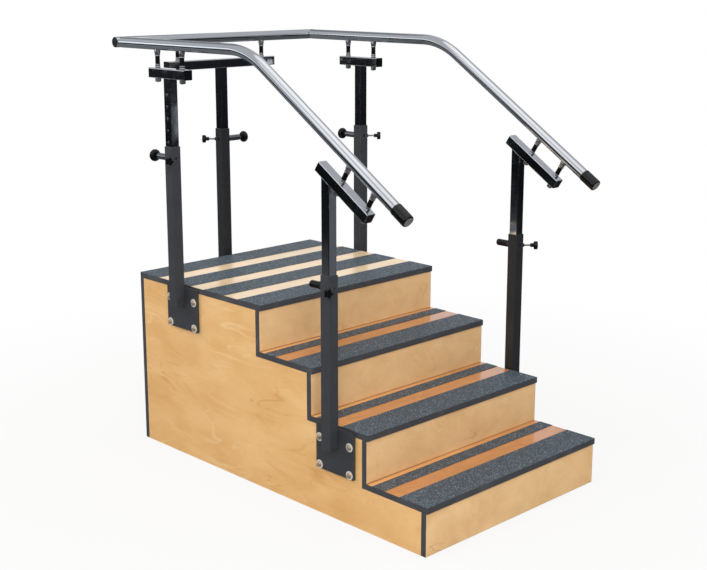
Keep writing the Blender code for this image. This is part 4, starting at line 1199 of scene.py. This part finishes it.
def addSoftbox(name, place, target, size, power):
    # Reflections don't see the lamps: cards stand for them there
    light = bpy.data.lights.new(name, "AREA")
    light.shape = "RECTANGLE"
    light.size, light.size_y = size
    light.energy = power
    lamp = bpy.data.objects.new(name, light)
    lamp.matrix_world = aim(place, Vector(place) - Vector(target))
    lamp.visible_glossy = False
    bpy.context.scene.collection.objects.link(lamp)


def addFlag(name, mesh, draw):
    # Glowing cloth or card that only reflections see, to give chrome and lacquer something to
    # mirror: painted reflections. draw gives the cloth's settings and the nodes that feed it.
    material, add = newMaterial(name + "Cloth")
    cloth = add("Emission", *draw(add))
    add("OutputMaterial", links={"Surface": cloth})
    flag = bpy.data.objects.new(name, mesh)
    flag.data.materials.append(material)
    flag.visible_camera = flag.visible_diffuse = flag.visible_shadow = False
    flag.visible_transmission = flag.visible_volume_scatter = False
    bpy.context.scene.collection.objects.link(flag)


def addCard(name, place, target, size, colour, glow):
    # A flat card on a stand, turned to the stairs; its middle is glow times as bright
    bm = bmesh.new()
    bm.loops.layers.uv.new("uv")
    bmesh.ops.create_grid(bm, x_segments=1, y_segments=1, size=0.5, calc_uvs=True)
    bmesh.ops.scale(bm, vec=(*size, 1), verts=bm.verts)

    def draw(add):
        if glow == 1.0:
            return {"Color": colour, "Strength": 1.0}, {}
        middle = add("Mapping", {"Location": (-1, -1, 0), "Scale": (2, 2, 1)}, {"Vector": "UV"})
        spot = add("TexGradient", {"gradient_type": "SPHERICAL"}, {"Vector": middle})
        bright = add("MapRange", {"To Min": 1.0, "To Max": glow}, {"Value": spot.outputs["Fac"]})
        return {"Color": colour}, {"Strength": bright}

    addFlag(name, moved(meshFrom(bm), aim(place, Vector(target) - Vector(place))), draw)


def addTent(radius, middle, walls, floor):
    # Glowing cloth, dark on the floor and low round the set, pale above: painted reflections
    low = math.asin(middle / radius)
    profile = [(0.0, middle + radius)]
    for i in range(1, 33):
        angle = math.pi / 2 - (math.pi / 2 + low) * i / 32
        profile.append((radius * math.cos(angle), middle + radius * math.sin(angle)))

    def shade(add, reading, most, stops):
        share = add("MapRange", {"From Max": most}, {"Value": reading})
        ramp = add("ValToRGB", {"stops": stops}, {"Fac": share})
        return {"Strength": 1.0}, {"Color": ramp}

    def byHeight(add):
        parts = add("SeparateXYZ", links={"Vector": "Object"})
        return shade(add, parts.outputs["Z"], middle + radius, walls)

    def byReach(add):
        reach = add("VectorMath", {"operation": "LENGTH"}, {0: "Object"})
        return shade(add, reach, radius, floor)

    addFlag("tent", turned(profile, 64), byHeight)
    addFlag("floor_cloth", turned([(0.0, 1 * mm), (radius, 1 * mm)], 64), byReach)


cameraLook = {"place": (2.9495, -2.8480, 1.6053), "yaw": 0.77070, "pitch": 0.22422,
              "lens": 64.775, "sensor": 36, "shiftY": -0.03}


def addCamera(look):
    data = bpy.data.cameras.new("photo_camera")
    data.lens, data.sensor_width, data.shift_y = look["lens"], look["sensor"], look["shiftY"]
    camera = bpy.data.objects.new("photo_camera", data)
    yaw, pitch = look["yaw"], look["pitch"]
    forward = Vector((-math.cos(yaw) * math.cos(pitch), math.sin(yaw) * math.cos(pitch),
                      -math.sin(pitch)))
    turn = (-forward).to_track_quat("Z", "Y").to_matrix().to_4x4()
    camera.matrix_world = Matrix.Translation(look["place"]) @ turn
    bpy.context.scene.collection.objects.link(camera)
    bpy.context.scene.camera = camera


studioFloor()
studioWorld()
for name, settings in softboxes.items():
    addSoftbox(name, *settings)
addTent(**tentLook)
for name, settings in cards.items():
    addCard(name, *settings)
addCamera(cameraLook)
bpy.context.scene.view_settings.view_transform = "Standard"
print("studio ready")
